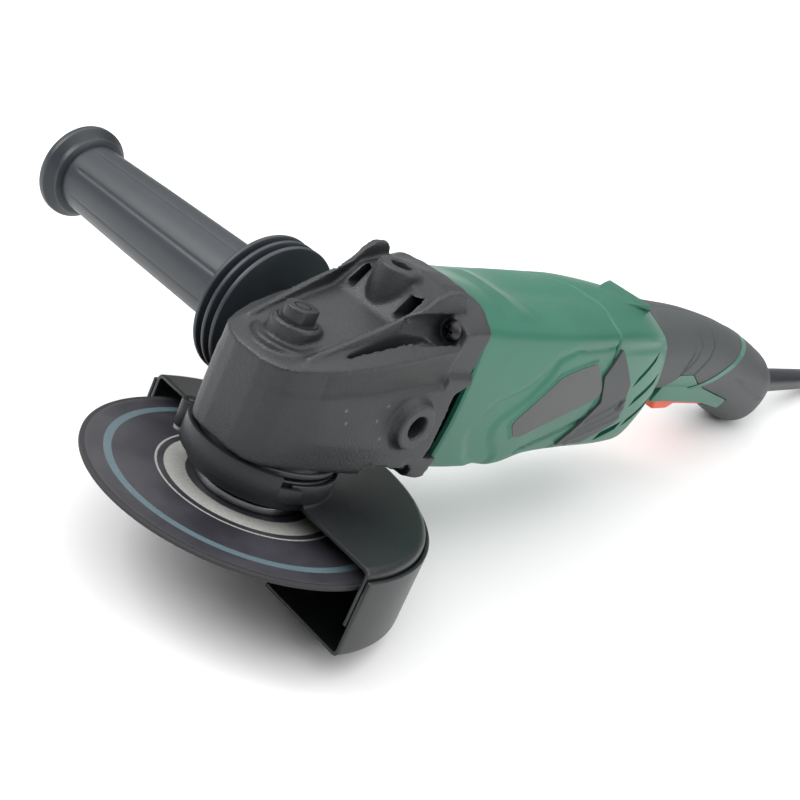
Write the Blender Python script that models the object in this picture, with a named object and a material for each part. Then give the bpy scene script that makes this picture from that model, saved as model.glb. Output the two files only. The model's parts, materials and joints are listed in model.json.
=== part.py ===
"""Angle grinder for 125 mm discs with a long rear handle, a cutting guard and a screw-in side handle.

The machine is drawn in its own tool frame, in millimetres: X runs back along the motor axis to the cord,
Y points to the side handle, Z runs up the spindle, and the origin is where the two axes cross. The empty
"tool" then tips that frame so that the guard and the tail rest on the ground at Z = 0.
"""

import math

import bmesh
import bpy
from mathutils import Vector

MM = 0.001
GAP = 0.3                      # clearance between pieces that touch

# Disc and spindle
DISC_RADIUS = 62.5
DISC_BORE = 11.1
DISC_TOP = -46.2
DISC_THICKNESS = 1.6
SPINDLE_RADIUS = 7.0
THREAD_RADIUS = 6.8
SPINDLE_BOTTOM = -57.0

# Guard and its collar
NECK_RADIUS = 24.0
NECK_BOTTOM = -37.2
GUARD_RADIUS = 66.2
GUARD_TOP = -37.6
SHEET = 1.6
COVER_RADIUS = 68.2
COVER_BOTTOM = -71.7
GUARD_END = 85.0               # the guard covers from this angle round the rear to 180 degrees further
LEVER_PIVOT_ANGLE = 122.0
LEVER_PIVOT_RADIUS = 30.2

# Gear case
CASE_BOTTOM = -25.0
LOCK_X = -10.5
LOCK_TOP = 26.5
LOCK_PIN_RADIUS = 1.8
SIDE_BOSS = (33.6, 33.7, -3.3)
TOP_BOSS_X = 31.4
TOP_BOSS_Z = 44.3
M8_RADIUS = 4.0

# Bevel gears: apex at the origin, cone distance and tooth counts
CONE_OUTER = 24.5
CONE_INNER = 15.5
CROWN_TEETH = 30
PINION_TEETH = 9
PINION_SEAT = 2.6                # radius of the shaft inside the pinion

# Motor
SHAFT_RADIUS = 5.0
STATOR_RADIUS = 27.0
STATOR_BORE = 18.8
CORE_RADIUS = 18.0
CORE_START = 74.0
CORE_END = 110.0
COMMUTATOR_RADIUS = 11.0
COMMUTATOR_START = 134.0
BRUSH_X = 142.5

# Housings along X
HOUSING_END = 151.0
COVER_END = 209.0
HANDLE_START = 209.3
WALL = 2.6

# Handle
RING_PLACE = 281.0
RING_WIDTH = 5.4
RING_SLANT = 1.95
END_SLANT = 0.45
TAIL_END = 355.0
EXIT_X = 362.0
EXIT_Z = -8.0
SLEEVE_END = 436.0
TRIGGER_PIVOT = (299.0, 0.0, -6.5)
PLUNGER_X = 266.0

# Side handle
STUD_END = 20.0
FLANGE_RADIUS = 30.0
GRIP_START = 61.0
GRIP_END = 172.0

# Cord
CORD_RADIUS = 3.8

# How the machine rests: the rim of the guard cover and the underside of the tail touch the ground
REST_GUARD = (COVER_RADIUS, COVER_BOTTOM)
REST_TAIL = (345.0, -29.08)

FINISHES = {
    "green_plastic": ((0.035, 0.135, 0.085), 0.42, 0.0),
    "grey_grip": ((0.075, 0.082, 0.085), 0.72, 0.0),
    "black_casting": ((0.030, 0.033, 0.036), 0.48, 0.2),
    "black_steel": ((0.020, 0.022, 0.024), 0.42, 0.5),
    "blue_grey_plastic": ((0.045, 0.055, 0.065), 0.50, 0.0),
    "orange_plastic": ((0.620, 0.085, 0.035), 0.45, 0.0),
    "bright_steel": ((0.520, 0.520, 0.520), 0.30, 1.0),
    "dark_steel": ((0.090, 0.090, 0.095), 0.40, 0.9),
    "zinc": ((0.420, 0.430, 0.440), 0.38, 1.0),
    "copper": ((0.560, 0.240, 0.110), 0.35, 1.0),
    "brass": ((0.600, 0.430, 0.160), 0.35, 1.0),
    "carbon": ((0.030, 0.030, 0.030), 0.65, 0.1),
    "abrasive": ((0.035, 0.035, 0.045), 0.85, 0.0),
    "black_rubber": ((0.018, 0.018, 0.020), 0.60, 0.0),
    "white_plastic": ((0.620, 0.610, 0.560), 0.50, 0.0),
    "black_plastic": ((0.025, 0.026, 0.028), 0.50, 0.0),
}


# ---------------------------------------------------------------- helpers

def clear_scene():
    """Empty the scene."""
    for item in list(bpy.data.objects):
        bpy.data.objects.remove(item, do_unlink=True)
    for group in list(bpy.data.collections):
        bpy.data.collections.remove(group)


def finish_material(name, finish):
    """The material of one piece, from a named finish."""
    colour, roughness, metallic = FINISHES[finish]
    material = bpy.data.materials.new(name)
    material.use_nodes = True
    shader = material.node_tree.nodes["Principled BSDF"]
    shader.inputs["Base Color"].default_value = (*colour, 1.0)
    shader.inputs["Roughness"].default_value = roughness
    shader.inputs["Metallic"].default_value = metallic
    return material


def add_piece(name, points, faces, finish=None, pivot=(0.0, 0.0, 0.0)):
    """A mesh object from points in tool millimetres; with no finish it is a cutter."""
    mesh = bpy.data.meshes.new(name)
    shift = Vector(pivot)
    mesh.from_pydata([(Vector(p) - shift) * MM for p in points], [], faces)
    work = bmesh.new()
    work.from_mesh(mesh)
    bmesh.ops.recalc_face_normals(work, faces=work.faces)
    work.to_mesh(mesh)
    work.free()
    mesh.shade_smooth()
    mesh.set_sharp_from_angle(angle=math.radians(32.0))
    piece = bpy.data.objects.new(name, mesh)
    bpy.context.scene.collection.objects.link(piece)
    piece.parent = bpy.data.objects["tool"]
    piece.location = shift * MM
    if finish:
        mesh.materials.append(finish_material(name, finish))
    else:
        piece.hide_render = True
        piece.display_type = "WIRE"
    return piece


def boolean(piece, other, operation):
    """Cut a cutter from a piece, or join it on; all of a piece's cutters work in one modifier."""
    name = f"{piece.name}_{operation.lower()}"
    group = bpy.data.collections.get(name)
    if group is None:
        group = bpy.data.collections.new(name)
        modifier = piece.modifiers.new(name, "BOOLEAN")
        modifier.operation = operation
        modifier.solver = "EXACT"
        modifier.operand_type = "COLLECTION"
        modifier.collection = group
    group.objects.link(other)


def cut(piece, *cutters):
    for cutter in cutters:
        boolean(piece, cutter, "DIFFERENCE")


def unite(piece, *others):
    for other in others:
        boolean(piece, other, "UNION")


def loft(name, rings, finish=None, closed=False, pivot=(0.0, 0.0, 0.0)):
    """A skin through rings of equally many points; the two ends are capped unless the loft is closed."""
    count = len(rings[0])
    points = [p for ring in rings for p in ring]
    faces = []
    spans = len(rings) if closed else len(rings) - 1
    for i in range(spans):
        here = i * count
        there = ((i + 1) % len(rings)) * count
        for k in range(count):
            after = (k + 1) % count
            faces.append((here + k, here + after, there + after, there + k))
    if not closed:
        faces.append(tuple(reversed(range(count))))
        faces.append(tuple(range((len(rings) - 1) * count, len(rings) * count)))
    return add_piece(name, points, faces, finish, pivot)


def tube_loft(name, outer, inner, finish=None):
    """A hollow skin, open at both ends: out along the outer rings and back along the inner ones."""
    return loft(name, list(outer) + list(reversed(inner)), finish, closed=True)


def on_axis(axis, at, radius, angle, along):
    """The point at a radius and an angle about a line through at, parallel to X, Y or Z."""
    across = radius * math.cos(angle)
    up = radius * math.sin(angle)
    offset = {"X": (along, across, up), "Y": (up, along, across), "Z": (across, up, along)}[axis]
    return tuple(a + b for a, b in zip(at, offset))


def turned(name, profile, finish=None, axis="Z", at=(0.0, 0.0, 0.0), segments=32, start=0.0):
    """A solid of revolution from a closed profile of (radius, along) points."""
    points = []
    rings = []
    for radius, along in profile:
        if radius == 0.0:
            rings.append([len(points)] * segments)
            points.append(on_axis(axis, at, 0.0, 0.0, along))
        else:
            rings.append(list(range(len(points), len(points) + segments)))
            for k in range(segments):
                angle = start + 2.0 * math.pi * k / segments
                points.append(on_axis(axis, at, radius, angle, along))
    faces = []
    for i, ring in enumerate(rings):
        other = rings[(i + 1) % len(rings)]
        for k in range(segments):
            after = (k + 1) % segments
            corners = [ring[k], ring[after], other[after], other[k]]
            face = [c for n, c in enumerate(corners) if c not in corners[:n]]
            if len(face) > 2:
                faces.append(face)
    return add_piece(name, points, faces, finish, at)


def rod(name, radius, start, end, finish=None, axis="Z", at=(0.0, 0.0, 0.0), segments=20):
    """A plain cylinder."""
    profile = [(0.0, start), (radius, start), (radius, end), (0.0, end)]
    return turned(name, profile, finish, axis, at, segments)


def pipe(name, inner, outer, start, end, finish=None, axis="Z", at=(0.0, 0.0, 0.0), segments=28):
    """A plain ring or tube."""
    profile = [(inner, start), (outer, start), (outer, end), (inner, end)]
    return turned(name, profile, finish, axis, at, segments)


def block(name, low, high, finish=None, pivot=(0.0, 0.0, 0.0)):
    """A box between two corners."""
    ring = [(low[1], low[2]), (high[1], low[2]), (high[1], high[2]), (low[1], high[2])]
    rings = [[(x, y, z) for y, z in ring] for x in (low[0], high[0])]
    return loft(name, rings, finish, pivot=pivot)


def prism(name, outline, low, high, finish=None, axis="Y", pivot=(0.0, 0.0, 0.0)):
    """An outline pushed along an axis: (x, z) points along Y, (x, y) points along Z."""
    rings = []
    for level in (low, high):
        if axis == "Y":
            rings.append([(a, level, b) for a, b in outline])
        else:
            rings.append([(a, b, level) for a, b in outline])
    return loft(name, rings, finish, pivot=pivot)


def swept(name, profile, start, end, finish=None, steps=24, pivot=(0.0, 0.0, 0.0), axis="Z"):
    """A closed (radius, along) profile turned part of the way round, between two angles in degrees."""
    rings = []
    for k in range(steps + 1):
        angle = math.radians(start + (end - start) * k / steps)
        rings.append([on_axis(axis, (0.0, 0.0, 0.0), radius, angle, along) for radius, along in profile])
    return loft(name, rings, finish, pivot=pivot)


def sector(name, inner, outer, low, high, start, end, finish=None, steps=24, pivot=(0.0, 0.0, 0.0), axis="Z"):
    """Part of a plain ring, between two angles in degrees."""
    profile = [(inner, low), (outer, low), (outer, high), (inner, high)]
    return swept(name, profile, start, end, finish, steps, pivot, axis)


def smooth_between(table, x):
    """Catmull-Rom reading of a table of stations."""
    last = len(table) - 1
    index = 0
    while index < last - 1 and x > table[index + 1][0]:
        index += 1
    p1 = table[index]
    p2 = table[index + 1]
    p0 = table[max(index - 1, 0)]
    p3 = table[min(index + 2, last)]
    span = p2[0] - p1[0]
    t = min(max((x - p1[0]) / span, 0.0), 1.0)
    values = []
    for n in range(1, len(p1)):
        slope1 = (p2[n] - p0[n]) / max(p2[0] - p0[0], 1e-9) * span
        slope2 = (p3[n] - p1[n]) / max(p3[0] - p1[0], 1e-9) * span
        value = (
            (2 * t ** 3 - 3 * t ** 2 + 1) * p1[n]
            + (t ** 3 - 2 * t ** 2 + t) * slope1
            + (3 * t ** 2 - 2 * t ** 3) * p2[n]
            + (t ** 3 - t ** 2) * slope2
        )
        values.append(value)
    return values


def bowed(start, end, bow, steps):
    """Points from start up to, but not at, end, along a curve bowed to the left of its run."""
    middle = ((start[0] + end[0]) / 2, (start[1] + end[1]) / 2)
    run = (end[0] - start[0], end[1] - start[1])
    length = math.hypot(*run)
    control = (middle[0] - 2 * bow * run[1] / length, middle[1] + 2 * bow * run[0] / length)
    points = []
    for k in range(steps):
        t = k / steps
        points.append(tuple(
            (1 - t) ** 2 * a + 2 * t * (1 - t) * c + t ** 2 * b
            for a, c, b in zip(start, control, end)
        ))
    return points


def mirrored(half, x):
    """A closed ring at x from the half outline that runs from the top centre to the bottom centre."""
    other = [(-y, z) for y, z in reversed(half[1:-1])]
    return [(x, y, z) for y, z in half + other]


# ---------------------------------------------------------------- gear head

def floor_height(x):
    """The valley of the gear case's top face, rising to the rear."""
    return 11.4 + 0.34 * (x + 25.0)


def rail_side(x):
    """The distance of a rail from the middle."""
    return 16.2 + 0.073 * (x + 12.0)


CASE_STATIONS = [
    # x, half width, top, shoulder height, bottom
    (-28.0, 7.0, 9.6, 9.2, -24.4),
    (-26.6, 12.6, 10.8, 10.4, -25.0),
    (-23.6, 17.6, 11.8, 11.6, -25.0),
    (-17.0, 22.0, 14.1, 12.9, -25.0),
    (-8.0, 25.6, 17.2, 14.9, -25.0),
    (8.0, 28.4, 22.6, 18.4, -25.0),
    (22.0, 29.8, 27.4, 21.4, -25.6),
    (32.0, 30.6, 42.4, 23.6, -26.8),
    (43.6, 31.4, 43.0, 26.0, -28.4),
    (43.9, 31.4, 43.0, 33.0, -28.4),
    (57.7, 32.0, 42.0, 33.2, -31.0),
]


def case_ring(x, half, top, shoulder, bottom):
    """One section of the gear case: domed top, ledge, shoulder, inset band, side panel and bottom."""
    inner = min(rail_side(x) - 1.4, 0.62 * half)
    outer = min(rail_side(x) + 1.4, 0.80 * half)
    edge = 0.955 * half
    crown = max(shoulder, floor_height(x)) if top > floor_height(x) + 2.0 else top
    side = crown + 0.45 * (top - crown)
    outline = [
        (0.0, top),
        (0.5 * inner, crown + 0.86 * (top - crown)),
        (inner, side),
        (outer, max(shoulder + 1.4, min(side, crown)) if x > -20.0 else top - 0.1),
        (edge, shoulder),
        (edge - 0.2, shoulder - 0.34 * (shoulder + 10.0)),
        (half, shoulder - 0.44 * (shoulder + 10.0)),
        (half, -13.0),
        (0.90 * half, bottom + 2.4),
        (0.80 * half, bottom),
        (0.0, bottom),
    ]
    return mirrored(outline, x)


def rail(name, side):
    """A rail with its horn, beside the valley."""
    outline = [(-17.0, 11.0), (-17.0, 15.2), (30.0, 37.4), (36.6, 43.2), (40.6, 44.4), (45.8, 43.6), (48.0, 41.4),
               (48.6, 28.0), (0.0, 12.0)]
    rings = []
    for offset in (-1.3, 1.3):
        rings.append([(x, side * (rail_side(x) + offset), z) for x, z in outline])
    return loft(name, rings)


def gear_case():
    case = loft("gear_case", [case_ring(*station) for station in CASE_STATIONS], "black_casting")
    unite(case, rail("join_left_rail", 1), rail("join_right_rail", -1))
    boss = [(0.0, 12.0), (9.3, 12.0), (9.3, 20.4), (8.7, 21.0), (0.0, 21.0)]
    unite(case, turned("join_lock_boss", boss, at=(LOCK_X, 0.0, 0.0), segments=22))
    lean = [(0.0, 24.0), (8.4, 24.0), (8.4, TOP_BOSS_Z), (0.0, TOP_BOSS_Z)]
    unite(case, turned("join_top_boss", lean, at=(TOP_BOSS_X, 0.0, 0.0), segments=22))
    for side, word in ((1, "left"), (-1, "right")):
        x, y, z = SIDE_BOSS
        profile = [(0.0, 24.0), (9.6, 24.0), (9.6, y - 0.7), (8.9, y), (0.0, y)]
        profile = [(r, side * along) for r, along in profile]
        unite(case, turned(f"join_{word}_boss", profile, axis="Y", at=(x, 0.0, z), segments=18))
    cavity = [(0.0, -30.0), (26.8, -30.0), (26.8, -24.6), (25.2, -24.6), (25.2, 6.0), (5.4, 6.0), (5.4, 13.3), (0.0, 13.3)]
    passage = [(0.0, 10.0), (12.0, 10.0), (12.0, 31.7), (15.4, 31.7), (15.4, 44.7), (26.6, 44.7),
               (26.6, 70.0), (0.0, 70.0)]
    pocket = [(0.0, 0.0), (LOCK_PIN_RADIUS + 0.5, 0.0), (LOCK_PIN_RADIUS + 0.5, 14.5), (7.6, 14.5),
              (7.6, 30.0), (0.0, 30.0)]
    cut(case, turned("cut_gear_room", cavity, segments=30))
    cut(case, turned("cut_motor_passage", passage, axis="X", segments=30))
    cut(case, turned("cut_lock_pocket", pocket, at=(LOCK_X, 0.0, 0.0), segments=20))
    cut(case, rod("cut_top_hole", M8_RADIUS, 31.3, 60.0, at=(TOP_BOSS_X, 0.0, 0.0), segments=16))
    for side in (1, -1):
        word = "left" if side == 1 else "right"
        x, y, z = SIDE_BOSS
        depth = sorted((side * 18.0, side * 60.0))
        cut(case, rod(f"cut_{word}_side_hole", M8_RADIUS + 0.4, *depth, axis="Y", at=(x, 0.0, z), segments=16))
        slot = [(52.6, -19.0), (70.0, -19.0), (70.0, 12.0), (55.0, 8.5)]
        cut(case, loft(f"cut_{word}_air_slot", [[(a, side * y, b) for a, b in slot] for y in (24.0, 40.0)]))
        window = [(18.0, 29.0), (18.0, 38.0), (50.0, 38.0), (50.0, 29.0)]
        rings = [[(x, side * y, z) for x, z in window] for y in (10.6, 14.6)]
        cut(case, loft(f"cut_{word}_top_window", rings))
    return case


def bearing_cover():
    profile = [
        (17.8, -22.0), (24.7, -22.0), (24.7, CASE_BOTTOM - GAP), (26.4, CASE_BOTTOM - GAP),
        (26.4, CASE_BOTTOM - 2.2), (NECK_RADIUS, CASE_BOTTOM - 2.2), (NECK_RADIUS, NECK_BOTTOM),
        (9.6, NECK_BOTTOM), (9.6, -34.3), (17.8, -34.3),
    ]
    turned("bearing_cover", profile, "black_casting", segments=26)


SCREW_PLACES = [
    # word, y, z, where the head's room starts, where the head sits
    ("left_top", 23.6, 31.0, 20.0, 43.2),
    ("right_top", -23.6, 31.0, 20.0, 43.2),
    ("left_bottom", 23.4, -23.4, 22.0, 46.0),
    ("right_bottom", -23.4, -23.4, 22.0, 46.0),
]


def case_screws(case, housing):
    """Four screws run back through the gear case's flange into the motor housing."""
    for word, y, z, front, seat in SCREW_PLACES:
        room = [(0.0, front), (5.6, front), (5.6, seat), (2.3, seat), (2.3, 80.0), (0.0, 80.0)]
        cut(case, turned(f"cut_case_{word}_screw", room, axis="X", at=(0.0, y, z), segments=14))
        room = [(0.0, 50.0), (2.3, 50.0), (2.3, 74.6), (0.0, 74.6)]
        cut(housing, turned(f"cut_housing_{word}_screw", room, axis="X", at=(0.0, y, z), segments=10))
        head = [(0.0, seat - 3.0), (2.4, seat - 2.8), (4.0, seat - 1.4), (4.0, seat - GAP), (2.0, seat - GAP),
                (2.0, 74.0), (0.0, 74.0)]
        turned(f"case_screw_{word}", head, "dark_steel", axis="X", at=(0.0, y, z), segments=14)


def spindle():
    profile = [
        (0.0, 12.4), (3.0, 12.4), (3.0, 4.6), (5.6, 4.6), (5.6, -6.0), (SPINDLE_RADIUS, -6.0),
        (SPINDLE_RADIUS, -20.6), (9.2, -20.6), (9.2, -22.6), (7.4, -22.6), (7.4, -37.8),
        (THREAD_RADIUS, -37.8), (THREAD_RADIUS, SPINDLE_BOTTOM + 1.0), (5.8, SPINDLE_BOTTOM),
        (0.0, SPINDLE_BOTTOM),
    ]
    turned("spindle", profile, "bright_steel", segments=16)


def cone_point(distance, cone, angle, lift):
    """A point at a distance from the apex on a cone about Z, lifted square to the cone's face."""
    reach = distance * math.sin(cone) + lift * math.cos(cone)
    height = distance * math.cos(cone) - lift * math.sin(cone)
    return (reach * math.cos(angle), reach * math.sin(angle), height)


def bevel_gear(name, teeth, cone, add, drop, body, finish, place):
    """A straight bevel gear, apex at the origin; the teeth are thin, so the pair runs with play.

    Every ring is one angle's section: over the toothed cone face, then round the body's (radius, height)
    points. place turns a point about +Z onto the gear's own axis.
    """
    pitch = 2.0 * math.pi / teeth
    shares = [(-0.22, -drop), (-0.11, add), (0.11, add), (0.22, -drop)]
    rings = []
    for tooth in range(teeth):
        for share, lift in shares:
            angle = (tooth + share) * pitch
            spots = [cone_point(CONE_INNER, cone, angle, lift), cone_point(CONE_OUTER, cone, angle, lift)]
            for radius, height in body:
                spots.append((radius * math.cos(angle), radius * math.sin(angle), height))
            rings.append([place(spot) for spot in spots])
    return loft(name, rings, finish, closed=True)


def gears():
    """The crown gear on the spindle and the pinion on the motor shaft."""
    pinion_cone = math.atan2(PINION_TEETH, CROWN_TEETH)
    crown_cone = math.pi / 2 - pinion_cone
    module = 2.0 * CONE_OUTER * math.sin(pinion_cone) / PINION_TEETH
    half_crown_tooth = math.pi / CROWN_TEETH

    def hang(point):
        x, y, z = point
        c = math.cos(half_crown_tooth)
        s = math.sin(half_crown_tooth)
        return (x * c - y * s, x * s + y * c, -z)

    def lie(point):
        x, y, z = point
        return (z, y, -x)

    web = CONE_INNER * math.cos(crown_cone) + 1.6
    body = [(CONE_OUTER * math.sin(crown_cone) - 0.6, 12.6), (12.6, 20.2), (SPINDLE_RADIUS + GAP, 20.2),
            (SPINDLE_RADIUS + GAP, web), (CONE_INNER * math.sin(crown_cone) - 1.2, web)]
    add = 0.45 * module
    drop = 0.65 * module
    crown = bevel_gear("crown_gear", CROWN_TEETH, crown_cone, add, drop, body, "dark_steel", hang)
    for k in range(4):
        angle = math.pi + k * math.pi / 2
        at = (abs(LOCK_X) * math.cos(angle), abs(LOCK_X) * math.sin(angle), 0.0)
        cut(crown, rod(f"cut_lock_hole_{k}", LOCK_PIN_RADIUS + 0.5, -30.0, 10.0, at=at, segments=14))
    bore = PINION_SEAT + GAP
    back = CONE_OUTER * math.cos(pinion_cone) + 0.8
    body = [(5.4, back), (bore, back), (bore, CONE_INNER * math.cos(pinion_cone) - 0.6)]
    bevel_gear("pinion", PINION_TEETH, pinion_cone, add, drop, body, "dark_steel", lie)


def gear_head(housing):
    case = gear_case()
    case_screws(case, housing)
    bearing_cover()
    spindle()
    gears()
    pipe("spindle_bush", 3.0 + GAP, 5.1, 6.4, 13.0, "brass", segments=24)
    pipe("spindle_bearing", 7.7, 17.5, -34.0, -23.0, "bright_steel", segments=32)
    cap = [
        (0.0, -5.4), (LOCK_PIN_RADIUS, -5.4), (LOCK_PIN_RADIUS, 19.2), (7.1, 19.2), (7.1, LOCK_TOP - 1.0),
        (6.2, LOCK_TOP), (0.0, LOCK_TOP),
    ]
    turned("lock_button", cap, "black_plastic", at=(LOCK_X, 0.0, 0.0), segments=28)


# ---------------------------------------------------------------- disc and guard

def disc_parts():
    profile = [
        (THREAD_RADIUS + 1.0, -38.1), (15.0, -38.1), (15.0, -42.2), (20.5, -43.2), (20.5, DISC_TOP + GAP),
        (DISC_BORE - GAP, DISC_TOP + GAP), (DISC_BORE - GAP, DISC_TOP - 1.2), (THREAD_RADIUS + 1.0, DISC_TOP - 1.2),
    ]
    turned("inner_flange", profile, "zinc", segments=28)
    pipe("cutting_disc", DISC_BORE, DISC_RADIUS, DISC_TOP - DISC_THICKNESS, DISC_TOP, "abrasive", segments=56)
    under = DISC_TOP - DISC_THICKNESS - GAP
    profile = [
        (THREAD_RADIUS + GAP, under), (20.0, under), (20.0, under - 4.0), (18.8, under - 5.0),
        (THREAD_RADIUS + GAP, under - 5.0),
    ]
    nut = turned("clamping_nut", profile, "zinc", segments=26)
    for side in (1, -1):
        cut(nut, rod(f"cut_nut_hole_{side}", 2.5, -60.0, -40.0, at=(0.0, side * 15.0, 0.0), segments=14))


def guard():
    end = GUARD_END
    begin = end - 180.0
    under = GUARD_TOP - SHEET
    inside = GUARD_RADIUS - SHEET
    section = [(NECK_RADIUS + 1.4, under), (inside, under), (inside, -60.0), (GUARD_RADIUS, -60.0),
               (GUARD_RADIUS, GUARD_TOP), (NECK_RADIUS + 1.4, GUARD_TOP)]
    steel = swept("upper_guard", section, begin, end, "black_steel", 30)
    collar = pipe("join_collar", NECK_RADIUS + 0.4, NECK_RADIUS + 2.2, under - 0.5, -28.6, segments=34)
    unite(steel, collar)
    floor = COVER_BOTTOM + SHEET
    inside = COVER_RADIUS - SHEET
    section = [(inside, -41.0), (inside, floor), (26.0, floor), (26.0, COVER_BOTTOM),
               (COVER_RADIUS, COVER_BOTTOM), (COVER_RADIUS, -41.0)]
    swept("lower_guard_cover", section, begin, end, "black_steel", 30)
    band_low = -36.4
    band_high = -29.0
    sector("clamp_band", NECK_RADIUS + 2.5, NECK_RADIUS + 4.0, band_low, band_high, -112.0, 112.0, "black_steel", 24)
    pivot = on_axis("Z", (0.0, 0.0, 0.0), LEVER_PIVOT_RADIUS, math.radians(LEVER_PIVOT_ANGLE), 0.0)
    lever = sector("clamp_lever", 28.4, 30.2, -35.2, -26.0, LEVER_PIVOT_ANGLE + 6.0, 238.0, "black_steel", 16, pivot)
    tab = sector("join_lever_tab", 28.6, 30.0, -35.0, -29.8, 236.0, 255.0, None, 6)
    eye = pipe("join_lever_eye", 1.8, 3.6, -35.5, -25.8, at=pivot, segments=20)
    bridge = sector("join_lever_bridge", 28.6, 31.0, -34.8, -26.4, LEVER_PIVOT_ANGLE + 4.0,
                    LEVER_PIVOT_ANGLE + 9.0, None, 3)
    unite(lever, tab, eye, bridge)
    pin = [(0.0, GUARD_TOP + GAP), (3.2, GUARD_TOP + GAP), (3.2, GUARD_TOP + 1.6), (1.5, GUARD_TOP + 1.6),
           (1.5, -25.5), (0.0, -25.5)]
    turned("lever_pin", pin, "bright_steel", at=pivot, segments=18)


# ---------------------------------------------------------------- motor

def motor_internals():
    shaft = [
        (0.0, 14.4), (PINION_SEAT, 14.4), (PINION_SEAT, 27.2), (SHAFT_RADIUS, 27.2), (SHAFT_RADIUS, 156.0), (3.4, 156.0),
        (3.4, 165.0), (0.0, 165.0),
    ]
    turned("armature_shaft", shaft, "bright_steel", axis="X", segments=20)
    ring = SHAFT_RADIUS + GAP
    pipe("front_bearing", ring, 15.1, 32.0, 41.0, "bright_steel", axis="X", segments=28)
    rotor = [
        (ring, CORE_START - 10.0), (12.0, CORE_START - 10.0), (16.2, CORE_START - 7.0), (16.2, CORE_START),
        (CORE_RADIUS, CORE_START), (CORE_RADIUS, CORE_END), (16.2, CORE_END), (16.2, CORE_END + 8.0),
        (9.0, CORE_END + 12.0), (9.0, COMMUTATOR_START - 2.0), (ring, COMMUTATOR_START - 2.0),
    ]
    turned("armature_core", rotor, "dark_steel", axis="X", segments=24)
    pipe("commutator", ring, COMMUTATOR_RADIUS, COMMUTATOR_START, 151.0, "copper", axis="X", segments=24)
    pipe("rear_bearing", 3.4 + GAP, 9.5, 157.0, 163.0, "bright_steel", axis="X", segments=24)
    fan()
    stator()
    baffle = [(21.0, 60.4), (27.4, 60.4), (27.4, 62.6), (23.0, 62.6)]
    turned("air_baffle", baffle, "black_plastic", axis="X", segments=32)
    for side, word in ((1, "left"), (-1, "right")):
        brush_gear(word, side)


def fan():
    """The cooling fan: a disc and hub with straight blades."""
    hub = [(SHAFT_RADIUS + GAP, 46.4), (8.5, 46.4), (8.5, 55.0), (25.0, 55.0), (25.0, 56.6),
           (SHAFT_RADIUS + GAP, 56.6)]
    fan_body = turned("cooling_fan", hub, "black_plastic", axis="X", segments=36)
    blades = 9
    for k in range(blades):
        angle = 2.0 * math.pi * k / blades
        c = math.cos(angle)
        s = math.sin(angle)
        corners = [(7.5, -0.6), (24.4, -0.6), (24.4, 0.6), (7.5, 0.6)]
        ring = [(a * c - b * s, a * s + b * c) for a, b in corners]
        rings = [[(x, y, z) for y, z in ring] for x in (48.2, 55.6)]
        unite(fan_body, loft(f"join_blade_{k}", rings))


def stator():
    """The laminated field core with two poles left and right, and the coil round each pole."""
    core = pipe("stator_core", STATOR_BORE, STATOR_RADIUS, CORE_START - 1.0, CORE_END + 1.0, "dark_steel",
                axis="X", segments=48)
    for sign, word in ((1, "upper"), (-1, "lower")):
        cut(core, sector(f"cut_{word}_slot", 15.0, 24.2, CORE_START - 10.0, CORE_END + 10.0,
                         sign * 90.0 - 46.0, sign * 90.0 + 46.0, None, 16, axis="X"))
    for sign, word in ((1, "left"), (-1, "right")):
        field_coil(f"field_coil_{word}", sign)


def field_coil(name, sign):
    """A saddle coil: its long sides lie in the two slots and its ends bend round the pole."""
    steps = 10
    front = CORE_START - 9.0
    rear = CORE_END + 8.0
    reach = math.radians(64.0)
    path = []
    for k in range(steps + 1):
        path.append((front, reach - 2.0 * reach * k / steps))
    for k in range(steps + 1):
        path.append((rear, -reach + 2.0 * reach * k / steps))
    rings = []
    middle = (front + rear) / 2.0
    for x, angle in path:
        out_x = x
        in_x = x + (5.6 if x < middle else -5.6)
        out_angle = angle
        in_angle = angle * (1.0 - 0.25 * abs(angle) / reach)
        ring = []
        for radius, px, pa in ((19.6, out_x, out_angle), (23.6, out_x, out_angle),
                               (23.6, in_x, in_angle), (19.6, in_x, in_angle)):
            ring.append((px, sign * radius * math.cos(pa), radius * math.sin(pa)))
        rings.append(ring)
    return loft(name, rings, "copper", closed=True)


def brush_gear(word, side):
    """A brush in its brass guide, pressed on the commutator by a flat plate spring cap."""
    def span(a, b):
        return min(side * a, side * b), max(side * a, side * b)

    low, high = span(13.2, 26.4)
    guide = block(f"brush_holder_{word}", (BRUSH_X - 5.2, low, -4.6), (BRUSH_X + 5.2, high, 4.6), "brass")
    low, high = span(5.0, 40.0)
    cut(guide, block(f"cut_brush_{word}", (BRUSH_X - 3.6, low, -3.0), (BRUSH_X + 3.6, high, 3.0)))
    low, high = span(COMMUTATOR_RADIUS + GAP, 22.0)
    block(f"carbon_brush_{word}", (BRUSH_X - 3.2, low, -2.6), (BRUSH_X + 3.2, high, 2.6), "carbon")


# ---------------------------------------------------------------- housings

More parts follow.
